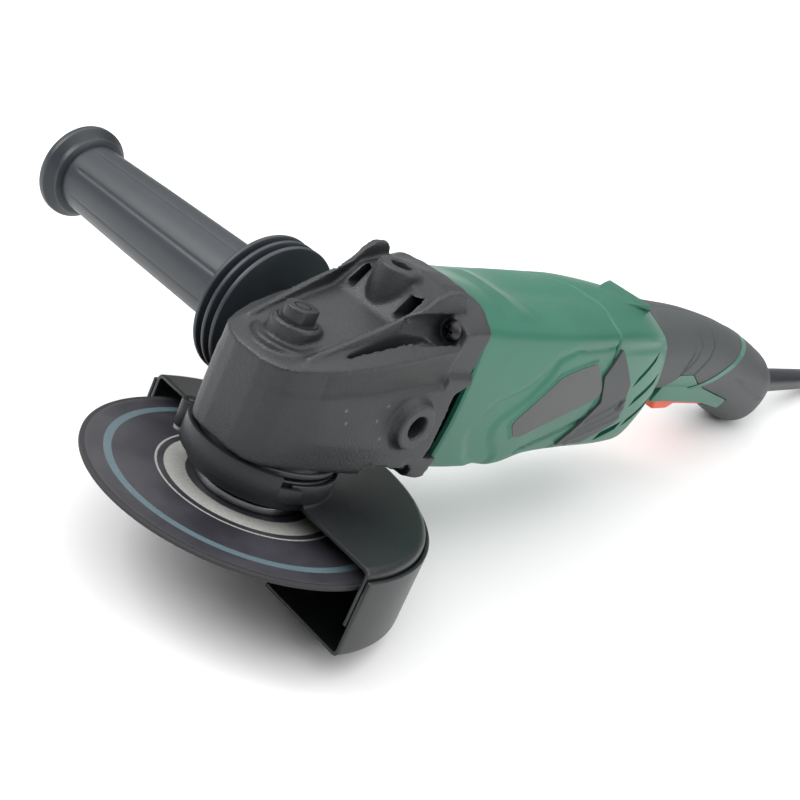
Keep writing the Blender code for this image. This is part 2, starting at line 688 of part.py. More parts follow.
HOUSING_STATIONS = [
    # x, top, shoulder out, shoulder height, bulge, lower out, lower height, bottom
    (58.0, 41.6, 27.8, 33.2, 2.6, 28.0, -25.0, -31.0),
    (78.0, 38.4, 28.2, 32.6, 2.8, 28.2, -26.2, -31.6),
    (104.0, 35.8, 28.8, 32.6, 3.0, 28.2, -26.4, -31.4),
    (122.0, 35.4, 29.2, 32.8, 3.0, 27.8, -22.8, -27.6),
    (151.0, 35.9, 28.8, 33.2, 3.2, 27.4, -21.6, -26.6),
    (168.0, 37.4, 28.4, 33.2, 3.2, 27.2, -21.6, -26.4),
    (184.0, 38.2, 27.4, 31.8, 3.2, 26.8, -21.2, -26.0),
    (196.0, 37.6, 25.4, 29.4, 3.4, 25.8, -19.8, -24.8),
    (205.0, 35.4, 22.6, 26.4, 3.6, 23.6, -14.4, -19.6),
    (210.0, 33.4, 20.2, 24.0, 3.6, 21.4, -9.4, -14.0),
]


def housing_ring(x, inset=0.0):
    """A section of the motor housing or the rear cover, set in by a wall where asked."""
    top, out, high, bulge, low_out, low, bottom = smooth_between(HOUSING_STATIONS, x)
    out -= inset
    low_out -= inset
    half = bowed((0.0, top - inset), (out, high - inset), 1.4, 4)
    half += bowed((out, high - inset), (low_out, low + 0.6 * inset), bulge, 5)
    half += bowed((low_out, low + 0.6 * inset), (0.0, bottom + inset), 2.0, 3)
    half.append((0.0, bottom + inset))
    return mirrored(half, x)


def hollow(name, stations, finish):
    """A housing shell, open at both ends, through the given stations."""
    outer = [housing_ring(x) for x in stations]
    inner = [housing_ring(x, WALL) for x in stations]
    return tube_loft(name, outer, inner, finish)


VENTS = [
    # the two ends of each slanted vent slot: x, z, x, z
    (178.0, 11.6, 192.0, 22.4),
    (183.0, 1.2, 200.0, 12.0),
    (187.0, -9.8, 203.0, 0.6),
    (178.6, -17.2, 190.0, -12.6),
]


def housings():
    front = hollow("motor_housing", [58.0, 80.0, 104.0, 113.0, 122.0, 136.0, HOUSING_END],
                   "green_plastic")
    rear = hollow("rear_cover", [HOUSING_END + GAP, 168.0, 184.0, 193.0, 200.0, 205.0, COVER_END],
                  "green_plastic")
    for side, word in ((1, "left"), (-1, "right")):
        for k, (x0, z0, x1, z1) in enumerate(VENTS):
            slot = [(x0, z0 - 1.2), (x1, z1 - 1.2), (x1, z1 + 1.2), (x0, z0 + 1.2)]
            cut(rear, loft(f"cut_{word}_vent_{k}", [[(x, side * y, z) for x, z in slot] for y in (15.0, 45.0)]))
    return front


def side_patch(name, edges, side, finish, thickness):
    """A thin piece lying on the housing's side; edges give (x, upper share, lower share) down the side."""
    rings = []
    for x, upper, lower in edges:
        ring = []
        for lift in (GAP, GAP + thickness):
            top, out, high, bulge, low_out, low, _ = smooth_between(HOUSING_STATIONS, x)
            curve = bowed((out + lift, high), (low_out + lift, low), bulge, 12) + [(low_out + lift, low)]
            shares = [upper + (lower - upper) * k / 4.0 for k in range(5)]
            if lift > GAP:
                shares.reverse()
            for share in shares:
                place = share * 12.0
                index = min(int(place), 11)
                part = place - index
                y = curve[index][0] + (curve[index + 1][0] - curve[index][0]) * part
                z = curve[index][1] + (curve[index + 1][1] - curve[index][1]) * part
                ring.append((x, side * y, z))
        rings.append(ring)
    return loft(name, rings, finish)


def side_trim():
    """The rating plate and the rubber insert on each side of the motor housing."""
    plate = [(96.0, 0.66, 0.76), (103.0, 0.55, 0.77), (116.0, 0.36, 0.70), (124.0, 0.28, 0.64), (138.0, 0.21, 0.56),
             (147.6, 0.26, 0.50)]
    insert = [(153.2, 0.12, 0.93), (160.0, 0.23, 0.92), (168.0, 0.35, 0.87), (173.0, 0.46, 0.82), (176.6, 0.58, 0.77)]
    for side, word in ((1, "left"), (-1, "right")):
        side_patch(f"rating_plate_{word}", plate, side, "black_plastic", 0.5)
        side_patch(f"side_insert_{word}", insert, side, "grey_grip", 1.2)


# ---------------------------------------------------------------- handle

HANDLE_STATIONS = [
    # x, top, bottom, half width
    (203.0, 33.8, -8.6, 20.6),
    (212.0, 33.8, -7.8, 20.6),
    (228.0, 33.0, -6.6, 20.0),
    (255.0, 31.2, -7.2, 19.0),
    (287.0, 26.8, -11.8, 18.0),
    (305.0, 23.0, -17.6, 17.6),
    (321.0, 19.0, -23.4, 17.4),
    (332.0, 15.6, -27.0, 17.2),
    (345.0, 11.2, -29.0, 16.6),
    (352.0, 7.6, -26.4, 15.0),
    (358.5, 4.0, -21.0, 12.8),
    (366.0, -0.4, -14.0, 9.0),
]


def handle_point(x, angle, inset=0.0):
    """A point of the handle's surface: a squarish oval whose height follows the handle's bend."""
    top, bottom, half = smooth_between(HANDLE_STATIONS, x)
    middle = (top + bottom) / 2.0
    c = math.cos(angle)
    s = math.sin(angle)
    y = (half - inset) * math.copysign(abs(c) ** 0.85, c)
    z = middle + ((top - bottom) / 2.0 - inset) * math.copysign(abs(s) ** 0.85, s)
    return y, z


def slant_at(place):
    """How far a handle section leans back: none at the cover, most at the green band, less at the tail."""
    rise = min(max((place - HANDLE_START) / (RING_PLACE - HANDLE_START), 0.0), 1.0)
    fall = min(max((place - RING_PLACE - RING_WIDTH) / (TAIL_END - RING_PLACE - RING_WIDTH), 0.0), 1.0)
    return RING_SLANT * rise * rise * (3.0 - 2.0 * rise) + (END_SLANT - RING_SLANT) * fall


def leaning_point(place, angle, inset=0.0):
    """A point of the leaning section at a place along the handle."""
    slant = slant_at(place)
    top, bottom, _ = smooth_between(HANDLE_STATIONS, place)
    middle = (top + bottom) / 2.0
    x = place
    for _ in range(30):
        y, z = handle_point(x, angle, inset)
        x = place + slant * (z - middle)
    return x, y, z


def handle_ring(place, inset=0.0, count=24):
    return [leaning_point(place, 2.0 * math.pi * k / count, inset) for k in range(count)]


def shell_half(word, side):
    """Half of the grey handle, split down the middle."""
    rings = []
    for place in (HANDLE_START, 220.0, 231.0, 242.0, 252.0, 262.0, 272.0, RING_PLACE - GAP):
        ring = []
        for inset, order in ((0.0, range(13)), (WALL, range(12, -1, -1))):
            for k in order:
                x, y, z = leaning_point(place, math.radians(-90.0 + 15.0 * k), inset)
                ring.append((x, side * max(y, 0.15), z))
        rings.append(ring)
    return loft(f"handle_shell_{word}", rings, "grey_grip")


BRACKET = [(248.0, 4.4), (248.0, -9.0), (281.0, -10.6), (303.6, -14.4), (308.4, -9.6), (277.0, -2.2), (265.0, 4.4)]
BRACKET_HALF = 13.6
OPENING_HALF = 8.2


def bracket_room(name):
    """The cutter that clears the bracket and the trigger out of a handle part."""
    outline = [(247.4, 5.0), (247.4, -60.0), (306.0, -60.0), (309.4, -9.4), (277.2, -1.4), (265.2, 5.0)]
    return prism(name, outline, -BRACKET_HALF - 0.4, BRACKET_HALF + 0.4)


def handle():
    shells = [shell_half("left", 1), shell_half("right", -1)]
    band_outer = [handle_ring(RING_PLACE + d) for d in (0.0, 0.5 * RING_WIDTH, RING_WIDTH)]
    band_inner = [handle_ring(RING_PLACE + d, WALL) for d in (0.0, 0.5 * RING_WIDTH, RING_WIDTH)]
    band = tube_loft("handle_band", band_outer, band_inner, "green_plastic")
    places = [RING_PLACE + RING_WIDTH + GAP, 300.0, 314.0, 328.0, 338.0, 345.0, 350.0, TAIL_END]
    tail = tube_loft("handle_tail", [handle_ring(p) for p in places],
                     [handle_ring(p, WALL) for p in places], "grey_grip")
    unite(band, prism("join_trigger_bracket", BRACKET, -BRACKET_HALF, BRACKET_HALF))
    for piece in (*shells, tail):
        cut(piece, bracket_room("cut_bracket_room_" + piece.name))
    cut(band, block("cut_trigger_opening", (249.6, -OPENING_HALF, -40.0), (304.8, OPENING_HALF, 12.0)))
    cut(band, rod("cut_pivot_hole", 1.8, -11.6, 11.6, axis="Y", at=TRIGGER_PIVOT, segments=16))
    places = [TAIL_END + GAP, TAIL_END + 2.6, TAIL_END + 5.0]
    ring = tube_loft("handle_end_ring", [handle_ring(p) for p in places],
                     [handle_ring(p, 4.6) for p in places], "green_plastic")
    cut(ring, rod("cut_sleeve_way", 7.4, 340.0, 400.0, axis="X", at=(0.0, 0.0, EXIT_Z), segments=24))
    trigger_parts()
    inner_parts()


def trigger_parts():
    outline = [(252.6, 0.4), (252.0, -9.0), (253.2, -18.1), (266.6, -18.1), (272.0, -15.5), (301.0, -16.6),
               (303.0, -15.0), (303.0, -3.6), (296.0, -1.4)]
    trigger = prism("trigger", outline, -7.6, 7.6, "orange_plastic", pivot=TRIGGER_PIVOT)
    cut(trigger, rod("cut_trigger_bore", 1.8, -20.0, 20.0, axis="Y", at=TRIGGER_PIVOT, segments=16))
    rod("trigger_pin", 1.5, -11.3, 11.3, "bright_steel", axis="Y", at=TRIGGER_PIVOT, segments=16)
    body = block("switch_body", (256.0, -7.0, 8.0), (284.0, 7.0, 22.0), "black_plastic")
    cut(body, rod("cut_plunger_bore", 2.8, -10.0, 18.0, at=(PLUNGER_X, 0.0, 0.0), segments=16))
    rod("switch_plunger", 2.4, 1.2, 12.0, "white_plastic", at=(PLUNGER_X, 0.0, 0.0), segments=16)
    block("capacitor", (224.0, -6.0, 6.0), (248.0, 6.0, 19.0), "white_plastic")


def inner_parts():
    """The cord's end inside the handle, with the bar that clamps it."""
    rod("inner_lead", CORD_RADIUS, 312.0, EXIT_X - 19.4, "black_rubber", axis="X", at=(0.0, 0.0, EXIT_Z), segments=16)
    block("cord_clamp", (326.0, -9.0, EXIT_Z + CORD_RADIUS + GAP), (334.0, 9.0, EXIT_Z + 7.4), "black_plastic")


# ---------------------------------------------------------------- side handle

def side_handle():
    x, _, z = SIDE_BOSS
    face = SIDE_BOSS[1] + 0.6
    profile = [
        (4.3, face), (11.4, face), (12.6, face + 1.2), (12.6, 46.6), (FLANGE_RADIUS - 0.8, 46.6),
        (FLANGE_RADIUS, 47.6), (FLANGE_RADIUS, 49.0), (19.0, 49.0), (19.0, 51.6),
        (FLANGE_RADIUS, 51.6), (FLANGE_RADIUS, 53.8), (19.0, 53.8), (19.0, 56.4), (FLANGE_RADIUS, 56.4),
        (FLANGE_RADIUS, 58.6), (18.6, 58.6), (17.2, GRIP_START), (17.0, 72.0), (15.9, 130.0),
        (14.9, 168.0), (16.8, 170.6), (16.8, GRIP_END), (20.6, GRIP_END + 1.0), (20.6, 177.6),
        (19.8, 178.4), (0.0, 178.4), (0.0, 64.0), (4.3, 64.0),
    ]
    turned("side_handle_grip", profile, "blue_grey_plastic", axis="Y", at=(x, 0.0, z), segments=20)
    rod("side_handle_stud", M8_RADIUS - 0.1, STUD_END, 63.4, "zinc", axis="Y", at=(x, 0.0, z), segments=20)


# ---------------------------------------------------------------- cord

TILT = math.atan2(REST_TAIL[1] - REST_GUARD[1], REST_TAIL[0] - REST_GUARD[0])
TOOL_X = -145.44
TOOL_Y = -55.1


def rest_height():
    """How far up the tool frame's origin sits when the guard cover's rim touches the ground."""
    return REST_GUARD[0] * math.sin(TILT) - REST_GUARD[1] * math.cos(TILT)


def to_ground(x, y, z):
    """A tool-frame point in ground millimetres."""
    c = math.cos(TILT)
    s = math.sin(TILT)
    return (TOOL_X + x * c + z * s, TOOL_Y + y, rest_height() - x * s + z * c)


def smooth_path(marks, spacing):
    """Points at even parameter steps of a Catmull-Rom curve through hand-placed marks."""
    ends = [marks[0]] + list(marks) + [marks[-1]]
    path = []
    for p0, p1, p2, p3 in zip(ends, ends[1:], ends[2:], ends[3:]):
        steps = max(1, round(math.dist(p1, p2) / spacing))
        for k in range(steps):
            t = k / steps
            path.append(tuple(
                0.5 * (2 * b + (c - a) * t + (2 * a - 5 * b + 4 * c - d) * t * t + (3 * b - a - 3 * c + d) * t ** 3)
                for a, b, c, d in zip(p0, p1, p2, p3)
            ))
    path.append(tuple(marks[-1]))
    return path


def cord_tube(name, marks):
    """A free stretch of the cord, as a bevelled curve in ground coordinates."""
    data = bpy.data.curves.new(name, "CURVE")
    data.dimensions = "3D"
    data.bevel_depth = CORD_RADIUS * MM
    data.bevel_resolution = 2
    data.use_fill_caps = True
    path = smooth_path(marks, 2.6 * CORD_RADIUS * 2.0)
    line = data.splines.new("POLY")
    line.points.add(len(path) - 1)
    for spot, point in zip(line.points, path):
        spot.co = (point[0] * MM, point[1] * MM, point[2] * MM, 1.0)
    data.materials.append(finish_material(name, "black_rubber"))
    tube = bpy.data.objects.new(name, data)
    bpy.context.scene.collection.objects.link(tube)
    return tube


COIL_CENTRE = (377.0, -116.6)
COIL_INNER = 28.3
COIL_OUTER = 59.7
COIL_HEIGHT = 16.0
PLUG_REACH = 86.0              # from the coil's centre to the plug
PLUG_TAIL = 24.0
PLUG_HEIGHT = 14.0


def grounded(piece, x, y, z=0.0, turn=0.0):
    """Stand a piece in ground coordinates instead of on the tool."""
    piece.parent = None
    piece.location = (x * MM, y * MM, z * MM)
    piece.rotation_euler = (0.0, 0.0, turn)


def cord():
    start = EXIT_X - 19.0
    sleeve = [
        (0.0, start), (8.4, start), (8.4, start + 3.0), (6.8, start + 3.0), (6.6, EXIT_X + 6.0),
        (5.5, SLEEVE_END - 1.0), (4.8, SLEEVE_END), (0.0, SLEEVE_END),
    ]
    turned("strain_relief", sleeve, "black_rubber", axis="X", at=(0.0, 0.0, EXIT_Z), segments=20)
    exit_x, exit_y, exit_z = to_ground(SLEEVE_END + GAP, 0.0, EXIT_Z)
    rest = CORD_RADIUS + GAP
    turn_radius = COIL_OUTER - CORD_RADIUS - GAP
    meeting = math.sqrt(COIL_OUTER ** 2 - (turn_radius - CORD_RADIUS) ** 2) + 2.0 * GAP
    coil_x, coil_y = COIL_CENTRE
    lead = [
        (exit_x, exit_y, exit_z), (exit_x + 10.0, exit_y, exit_z - 1.4), (exit_x + 26.0, exit_y - 1.0, rest),
        (exit_x + 46.0, exit_y - 3.6, rest), (coil_x - meeting, coil_y + turn_radius, rest),
    ]
    cord_tube("cord_lead", lead)
    profile = [(COIL_INNER, GAP), (COIL_OUTER, GAP), (COIL_OUTER, COIL_HEIGHT), (COIL_INNER, COIL_HEIGHT)]
    ring = turned("cord_coil", profile, "black_rubber", segments=32)
    grounded(ring, coil_x, coil_y)
    plug_x = coil_x + turn_radius
    plug_y = coil_y - PLUG_REACH
    tail = plug_y + PLUG_TAIL + GAP
    end = [(plug_x, coil_y - meeting, COIL_HEIGHT / 2.0), (plug_x + 0.6, coil_y - meeting - 14.0, rest + 2.0),
           (plug_x, tail, PLUG_HEIGHT / 2.0)]
    cord_tube("cord_end", end)
    plug(plug_x, plug_y)


def plug(x, y):
    """A two-pin contour plug lying flat, with its face towards -Y."""
    half = [(-PLUG_TAIL, 4.6), (-20.0, 6.4), (-6.0, 9.6), (6.0, 16.6), (16.0, 17.8), (22.0, 17.8)]
    outline = half + [(a, -b) for a, b in reversed(half)]
    facing = -math.pi / 2.0
    body = prism("plug", outline, GAP, PLUG_HEIGHT, "black_rubber", axis="Z")
    grounded(body, x, y, turn=facing)
    for side in (1, -1):
        pin = rod(f"join_pin_{side}", 2.4, 18.0, 41.0, axis="X", segments=12)
        grounded(pin, x + side * 9.5, y, PLUG_HEIGHT / 2.0, facing)
        unite(body, pin)


# ---------------------------------------------------------------- assembly

def main():
    clear_scene()
    tool = bpy.data.objects.new("tool", None)
    bpy.context.scene.collection.objects.link(tool)
    tool.location = (TOOL_X * MM, TOOL_Y * MM, rest_height() * MM)
    tool.rotation_euler = (0.0, TILT, 0.0)
    housing = housings()
    gear_head(housing)
    disc_parts()
    guard()
    motor_internals()
    side_trim()
    handle()
    side_handle()
    cord()


main()
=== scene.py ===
"""Looks of the angle grinder: its camera, lead, materials and detailed pieces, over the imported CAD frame.

Detailed pieces are drawn in the machine's own frame, in millimetres: X runs back along the motor axis,
Y points to the side handle and Z runs up the spindle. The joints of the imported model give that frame.
"""

import json
import math

import bmesh
import bpy
import numpy as np
from mathutils import Matrix, Vector

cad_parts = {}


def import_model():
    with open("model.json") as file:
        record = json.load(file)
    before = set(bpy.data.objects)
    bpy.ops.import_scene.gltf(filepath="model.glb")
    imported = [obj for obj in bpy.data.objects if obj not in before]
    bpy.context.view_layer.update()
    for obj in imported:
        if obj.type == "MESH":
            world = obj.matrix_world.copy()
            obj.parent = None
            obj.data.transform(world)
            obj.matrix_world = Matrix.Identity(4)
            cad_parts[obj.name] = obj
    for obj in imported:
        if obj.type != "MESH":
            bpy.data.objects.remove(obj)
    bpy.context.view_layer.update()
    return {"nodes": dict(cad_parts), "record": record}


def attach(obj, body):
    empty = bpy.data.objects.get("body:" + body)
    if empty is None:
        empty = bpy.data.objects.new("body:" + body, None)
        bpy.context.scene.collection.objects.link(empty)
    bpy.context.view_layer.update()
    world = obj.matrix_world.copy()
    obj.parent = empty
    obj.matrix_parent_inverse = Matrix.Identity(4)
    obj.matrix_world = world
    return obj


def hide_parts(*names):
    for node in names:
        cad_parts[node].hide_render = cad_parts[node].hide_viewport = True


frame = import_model()
JOINTS = {joint["name"]: joint for joint in frame["record"]["behaviour"]["joints"]}
MM = 0.001

# The machine's own frame, from the motor's and the spindle's axes
AXIS_X = Vector(JOINTS["armature_spin"]["axis"])
AXIS_Z = Vector(JOINTS["spindle_spin"]["axis"])
SPINDLE_JOINT_Z = -40.0
ORIGIN = Vector(JOINTS["spindle_spin"]["pos_m"]) - SPINDLE_JOINT_Z * MM * AXIS_Z
TOOL = Matrix.Translation(ORIGIN) @ Matrix((AXIS_X, AXIS_Z.cross(AXIS_X), AXIS_Z)).transposed().to_4x4()


def world(point):
    """A point in the machine's millimetres as a world position in metres."""
    return TOOL @ (Vector(point) * MM)


# ---------------------------------------------------------------- camera, light and floor

CAMERA_PLACE = (-390.5, -309.3, 184.6)
CAMERA_FORWARD = Vector((0.7788, 0.5295, -0.3362))
CAMERA_RIGHT = Vector((0.6269, -0.6759, 0.3876))
LENS = 68.57


def make_camera():
    data = bpy.data.cameras.new("camera")
    data.lens = LENS
    data.sensor_width = 36.0
    data.clip_start = 0.01
    data.shift_x = 0.0014
    data.shift_y = -0.0019
    camera = bpy.data.objects.new("camera", data)
    bpy.context.scene.collection.objects.link(camera)
    forward = CAMERA_FORWARD.normalized()
    right = (CAMERA_RIGHT - CAMERA_RIGHT.dot(forward) * forward).normalized()
    turn = Matrix((right, right.cross(forward), -forward)).transposed().to_4x4()
    camera.matrix_world = TOOL @ Matrix.Translation(Vector(CAMERA_PLACE) * MM) @ turn
    bpy.context.scene.camera = camera


def area_light(name, place, target, size, power):
    data = bpy.data.lights.new(name, "AREA")
    data.shape = "RECTANGLE"
    data.size, data.size_y = size
    data.energy = power
    light = bpy.data.objects.new(name, data)
    light.location = place
    light.rotation_euler = (Vector(target) - Vector(place)).to_track_quat("-Z", "Y").to_euler()
    bpy.context.scene.collection.objects.link(light)


def make_studio():
    """A white floor and backdrop under soft boxes."""
    bpy.ops.mesh.primitive_plane_add(size=8.0, location=(0.0, 0.0, -0.0005))
    floor = bpy.context.object
    floor.name = "floor"
    paint = bpy.data.materials.new("floor")
    paint.use_nodes = True
    shader = paint.node_tree.nodes["Principled BSDF"]
    shader.inputs["Base Color"].default_value = (0.92, 0.92, 0.92, 1.0)
    shader.inputs["Roughness"].default_value = 0.9
    floor.data.materials.append(paint)
    sky = bpy.data.worlds.new("studio")
    sky.use_nodes = True
    sky.node_tree.nodes["Background"].inputs["Color"].default_value = (1.0, 1.0, 1.0, 1.0)
    sky.node_tree.nodes["Background"].inputs["Strength"].default_value = 0.30
    bpy.context.scene.world = sky
    area_light("overhead", (0.3, 0.2, 3.0), (0.3, 0.2, 0.0), (7.0, 7.0), 250.0)
    area_light("key", (-0.75, 0.65, 0.95), (-0.05, 0.0, 0.05), (0.5, 0.7), 9.0)
    area_light("side", (0.35, -1.3, 0.75), (0.0, 0.0, 0.05), (1.0, 0.4), 6.0)
    view = bpy.context.scene.view_settings
    view.view_transform = "Standard"


# ---------------------------------------------------------------- materials

MATERIALS = {}


class Shader:
    """A material with a Principled BSDF and small helpers to link nodes."""

    def __init__(self, name):
        self.material = bpy.data.materials.new(name)
        self.material.use_nodes = True
        self.tree = self.material.node_tree
        self.main = self.tree.nodes["Principled BSDF"]
        self.place = self.machine_frame()

    def machine_frame(self):
        """The point being shaded, in the machine's own frame and in metres."""
        mapping = self.node("ShaderNodeMapping")
        inverse = TOOL.inverted()
        mapping.inputs["Location"].default_value = inverse.translation
        mapping.inputs["Rotation"].default_value = inverse.to_euler()
        self.link(self.node("ShaderNodeTexCoord").outputs["Object"], mapping.inputs["Vector"])
        return mapping.outputs["Vector"]

    def node(self, kind, **settings):
        node = self.tree.nodes.new(kind)
        for key, value in settings.items():
            setattr(node, key, value)
        return node

    def link(self, source, target):
        self.tree.links.new(source, target)

    def stretched(self, scale):
        mapping = self.node("ShaderNodeMapping")
        mapping.inputs["Scale"].default_value = scale
        self.link(self.place, mapping.inputs["Vector"])
        return mapping.outputs["Vector"]

    def noise(self, scale, detail=4.0, vector=None, roughness=0.55):
        node = self.node("ShaderNodeTexNoise")
        node.inputs["Scale"].default_value = scale
        node.inputs["Detail"].default_value = detail
        node.inputs["Roughness"].default_value = roughness
        self.link(vector or self.place, node.inputs["Vector"])
        return node.outputs["Fac"]

    def spread(self, source, low, high, to_low=0.0, to_high=1.0):
        node = self.node("ShaderNodeMapRange")
        node.inputs["From Min"].default_value = low
        node.inputs["From Max"].default_value = high
        node.inputs["To Min"].default_value = to_low
        node.inputs["To Max"].default_value = to_high
        self.link(source, node.inputs["Value"])
        return node.outputs["Result"]

    def mix(self, share, first, second):
        """Blend two colours, each a tuple or a socket."""
        node = self.node("ShaderNodeMix", data_type="RGBA")
        self.link(share, node.inputs["Factor"])
        for value, socket in ((first, node.inputs[6]), (second, node.inputs[7])):
            if isinstance(value, tuple):
                socket.default_value = (*value, 1.0)
            else:
                self.link(value, socket)
        return node.outputs[2]

    def math(self, operation, first, second=0.0):
        node = self.node("ShaderNodeMath", operation=operation)
        for value, socket in zip((first, second), node.inputs):
            if isinstance(value, float):
                socket.default_value = value
            else:
                self.link(value, socket)
        return node.outputs[0]

    def left_of(self, start, end, soft):
        """1 to the left of a line between two (x, z) points in millimetres, and 0 to its right."""
        run = Vector(end) - Vector(start)
        out = Vector((-run.y, run.x)).normalized()
        node = self.node("ShaderNodeVectorMath", operation="DOT_PRODUCT")
        self.link(self.place, node.inputs[0])
        node.inputs[1].default_value = (out.x / MM, 0.0, out.y / MM)
        level = out.dot(Vector(start))
        return self.spread(node.outputs["Value"], level - soft, level + soft)

    def region(self, corners, soft):
        """1 inside a convex (x, z) outline whose corners run anticlockwise, 0 outside."""
        share = None
        for start, end in zip(corners, corners[1:] + corners[:1]):
            edge = self.left_of(start, end, soft)
            share = edge if share is None else self.math("MULTIPLY", share, edge)
        return share

    def bump(self, height, distance):
        node = self.node("ShaderNodeBump")
        node.inputs["Distance"].default_value = distance
        self.link(height, node.inputs["Height"])
        return node.outputs["Normal"]


# Where shade is painted, as darker colour, over the recessed band along the gear case's side, as (x, z)
# corners
CASE_PAINTED_SHADE = [(-12.0, 3.4), (42.6, 12.6), (42.6, 24.4), (-12.0, 12.6)]
# How sharp an edge has to be before it is lightened, and where it is lightest: partly a worn coat, partly a
# painted highlight
EDGE_WEAR_AND_HIGHLIGHT = (0.53, 0.62)


def moulded(name, colour, roughness, grain, relief, worn=None, edge=None, painted_shade=None):
    """A satin moulded, cast or coated surface, with slow shade changes, fine grain and wear; a recess can get
    painted shade, and sharp edges are lightened partly as wear and partly as a painted highlight.
    """
    s = Shader(name)
    slow = s.noise(14.0, 3.0)
    darker = tuple(c * 0.86 for c in colour)
    lighter = tuple(min(c * 1.14, 1.0) for c in colour)
    tint = s.mix(s.spread(slow, 0.35, 0.65), darker, lighter)
    fine = s.noise(grain, 3.0)
    if worn:
        marks = s.noise(420.0, 6.0, roughness=0.7)
        tint = s.mix(s.spread(marks, 0.70, 0.78, 0.0, 0.55), tint, worn)
    if painted_shade:
        # Painted shade: inside the outline the colour is darkened towards a fifth of itself, standing in for
        # the shade that falls in the band
        inside = s.math("MULTIPLY", s.region(painted_shade, 0.5), 0.6)
        tint = s.mix(inside, tint, tuple(c * 0.2 for c in colour))
    if edge:
        # Sharp edges are lightened: partly a worn coat, partly a painted highlight where edges would catch
        # the light
        sharp = s.node("ShaderNodeNewGeometry").outputs["Pointiness"]
        tint = s.mix(s.spread(sharp, *EDGE_WEAR_AND_HIGHLIGHT, 0.0, 0.6), tint, edge)
    s.link(tint, s.main.inputs["Base Color"])
    s.link(s.spread(slow, 0.3, 0.7, roughness - 0.05, roughness + 0.06), s.main.inputs["Roughness"])
    s.link(s.bump(fine, relief), s.main.inputs["Normal"])
    return s.material


def turned_metal(name, colour, roughness):
    """Bare metal with fine machining marks."""
    s = Shader(name)
    lines = s.noise(900.0, 2.0, s.stretched((1.0, 1.0, 8.0)))
    s.link(s.spread(lines, 0.3, 0.7, roughness - 0.08, roughness + 0.1), s.main.inputs["Roughness"])
    tint = s.mix(s.spread(lines, 0.3, 0.7), tuple(c * 0.85 for c in colour), colour)
    s.link(tint, s.main.inputs["Base Color"])
    s.main.inputs["Metallic"].default_value = 1.0
    s.link(s.bump(lines, 0.00005), s.main.inputs["Normal"])
    return s.material


LABEL_RINGS = [
    # inner radius, outer radius, colour: a plain design that stands in for all print
    (24.0, 32.0, (0.40, 0.40, 0.38)),
    (34.5, 35.3, (0.40, 0.40, 0.38)),
    (51.0, 54.0, (0.10, 0.15, 0.17)),
    (59.6, 64.0, (0.045, 0.045, 0.048)),
]


def label_print():
    """The paper on the disc: a dark field with plain rings and no other marks."""
    s = Shader("label")
    slow = s.noise(38.0, 4.0)
    field = s.mix(s.spread(slow, 0.35, 0.65), (0.020, 0.020, 0.026), (0.044, 0.043, 0.052))
    flat = s.node("ShaderNodeVectorMath", operation="MULTIPLY")
    flat.inputs[1].default_value = (1.0, 1.0, 0.0)
    s.link(s.place, flat.inputs[0])
    distance = s.node("ShaderNodeVectorMath", operation="LENGTH")
    s.link(flat.outputs["Vector"], distance.inputs[0])
    speckle = s.noise(1500.0, 2.0)
    radius = s.math("ADD", distance.outputs["Value"], s.spread(speckle, 0.0, 1.0, -0.0002, 0.0002))
    for inner, outer, colour in LABEL_RINGS:
        past_inner = s.spread(radius, (inner - 0.15) * MM, (inner + 0.15) * MM)
        short_of_outer = s.spread(radius, (outer - 0.15) * MM, (outer + 0.15) * MM, 1.0, 0.0)
        grain = s.mix(s.spread(speckle, 0.36, 0.64), tuple(c * 0.8 for c in colour), colour)
        field = s.mix(s.math("MULTIPLY", past_inner, short_of_outer), field, grain)
    s.link(field, s.main.inputs["Base Color"])
    s.main.inputs["Roughness"].default_value = 0.42
    s.link(s.bump(s.noise(2200.0, 3.0), 0.00008), s.main.inputs["Normal"])
    return s.material


def badge_print():
    """The side plate: plain dark satin, with nothing printed on it."""
    s = Shader("badge")
    slow = s.noise(60.0, 3.0)
    s.link(s.mix(s.spread(slow, 0.35, 0.65), (0.040, 0.043, 0.044), (0.058, 0.062, 0.063)),
           s.main.inputs["Base Color"])
    s.link(s.spread(slow, 0.3, 0.7, 0.38, 0.48), s.main.inputs["Roughness"])
    s.link(s.bump(s.noise(2400.0, 2.0), 0.00003), s.main.inputs["Normal"])
    return s.material


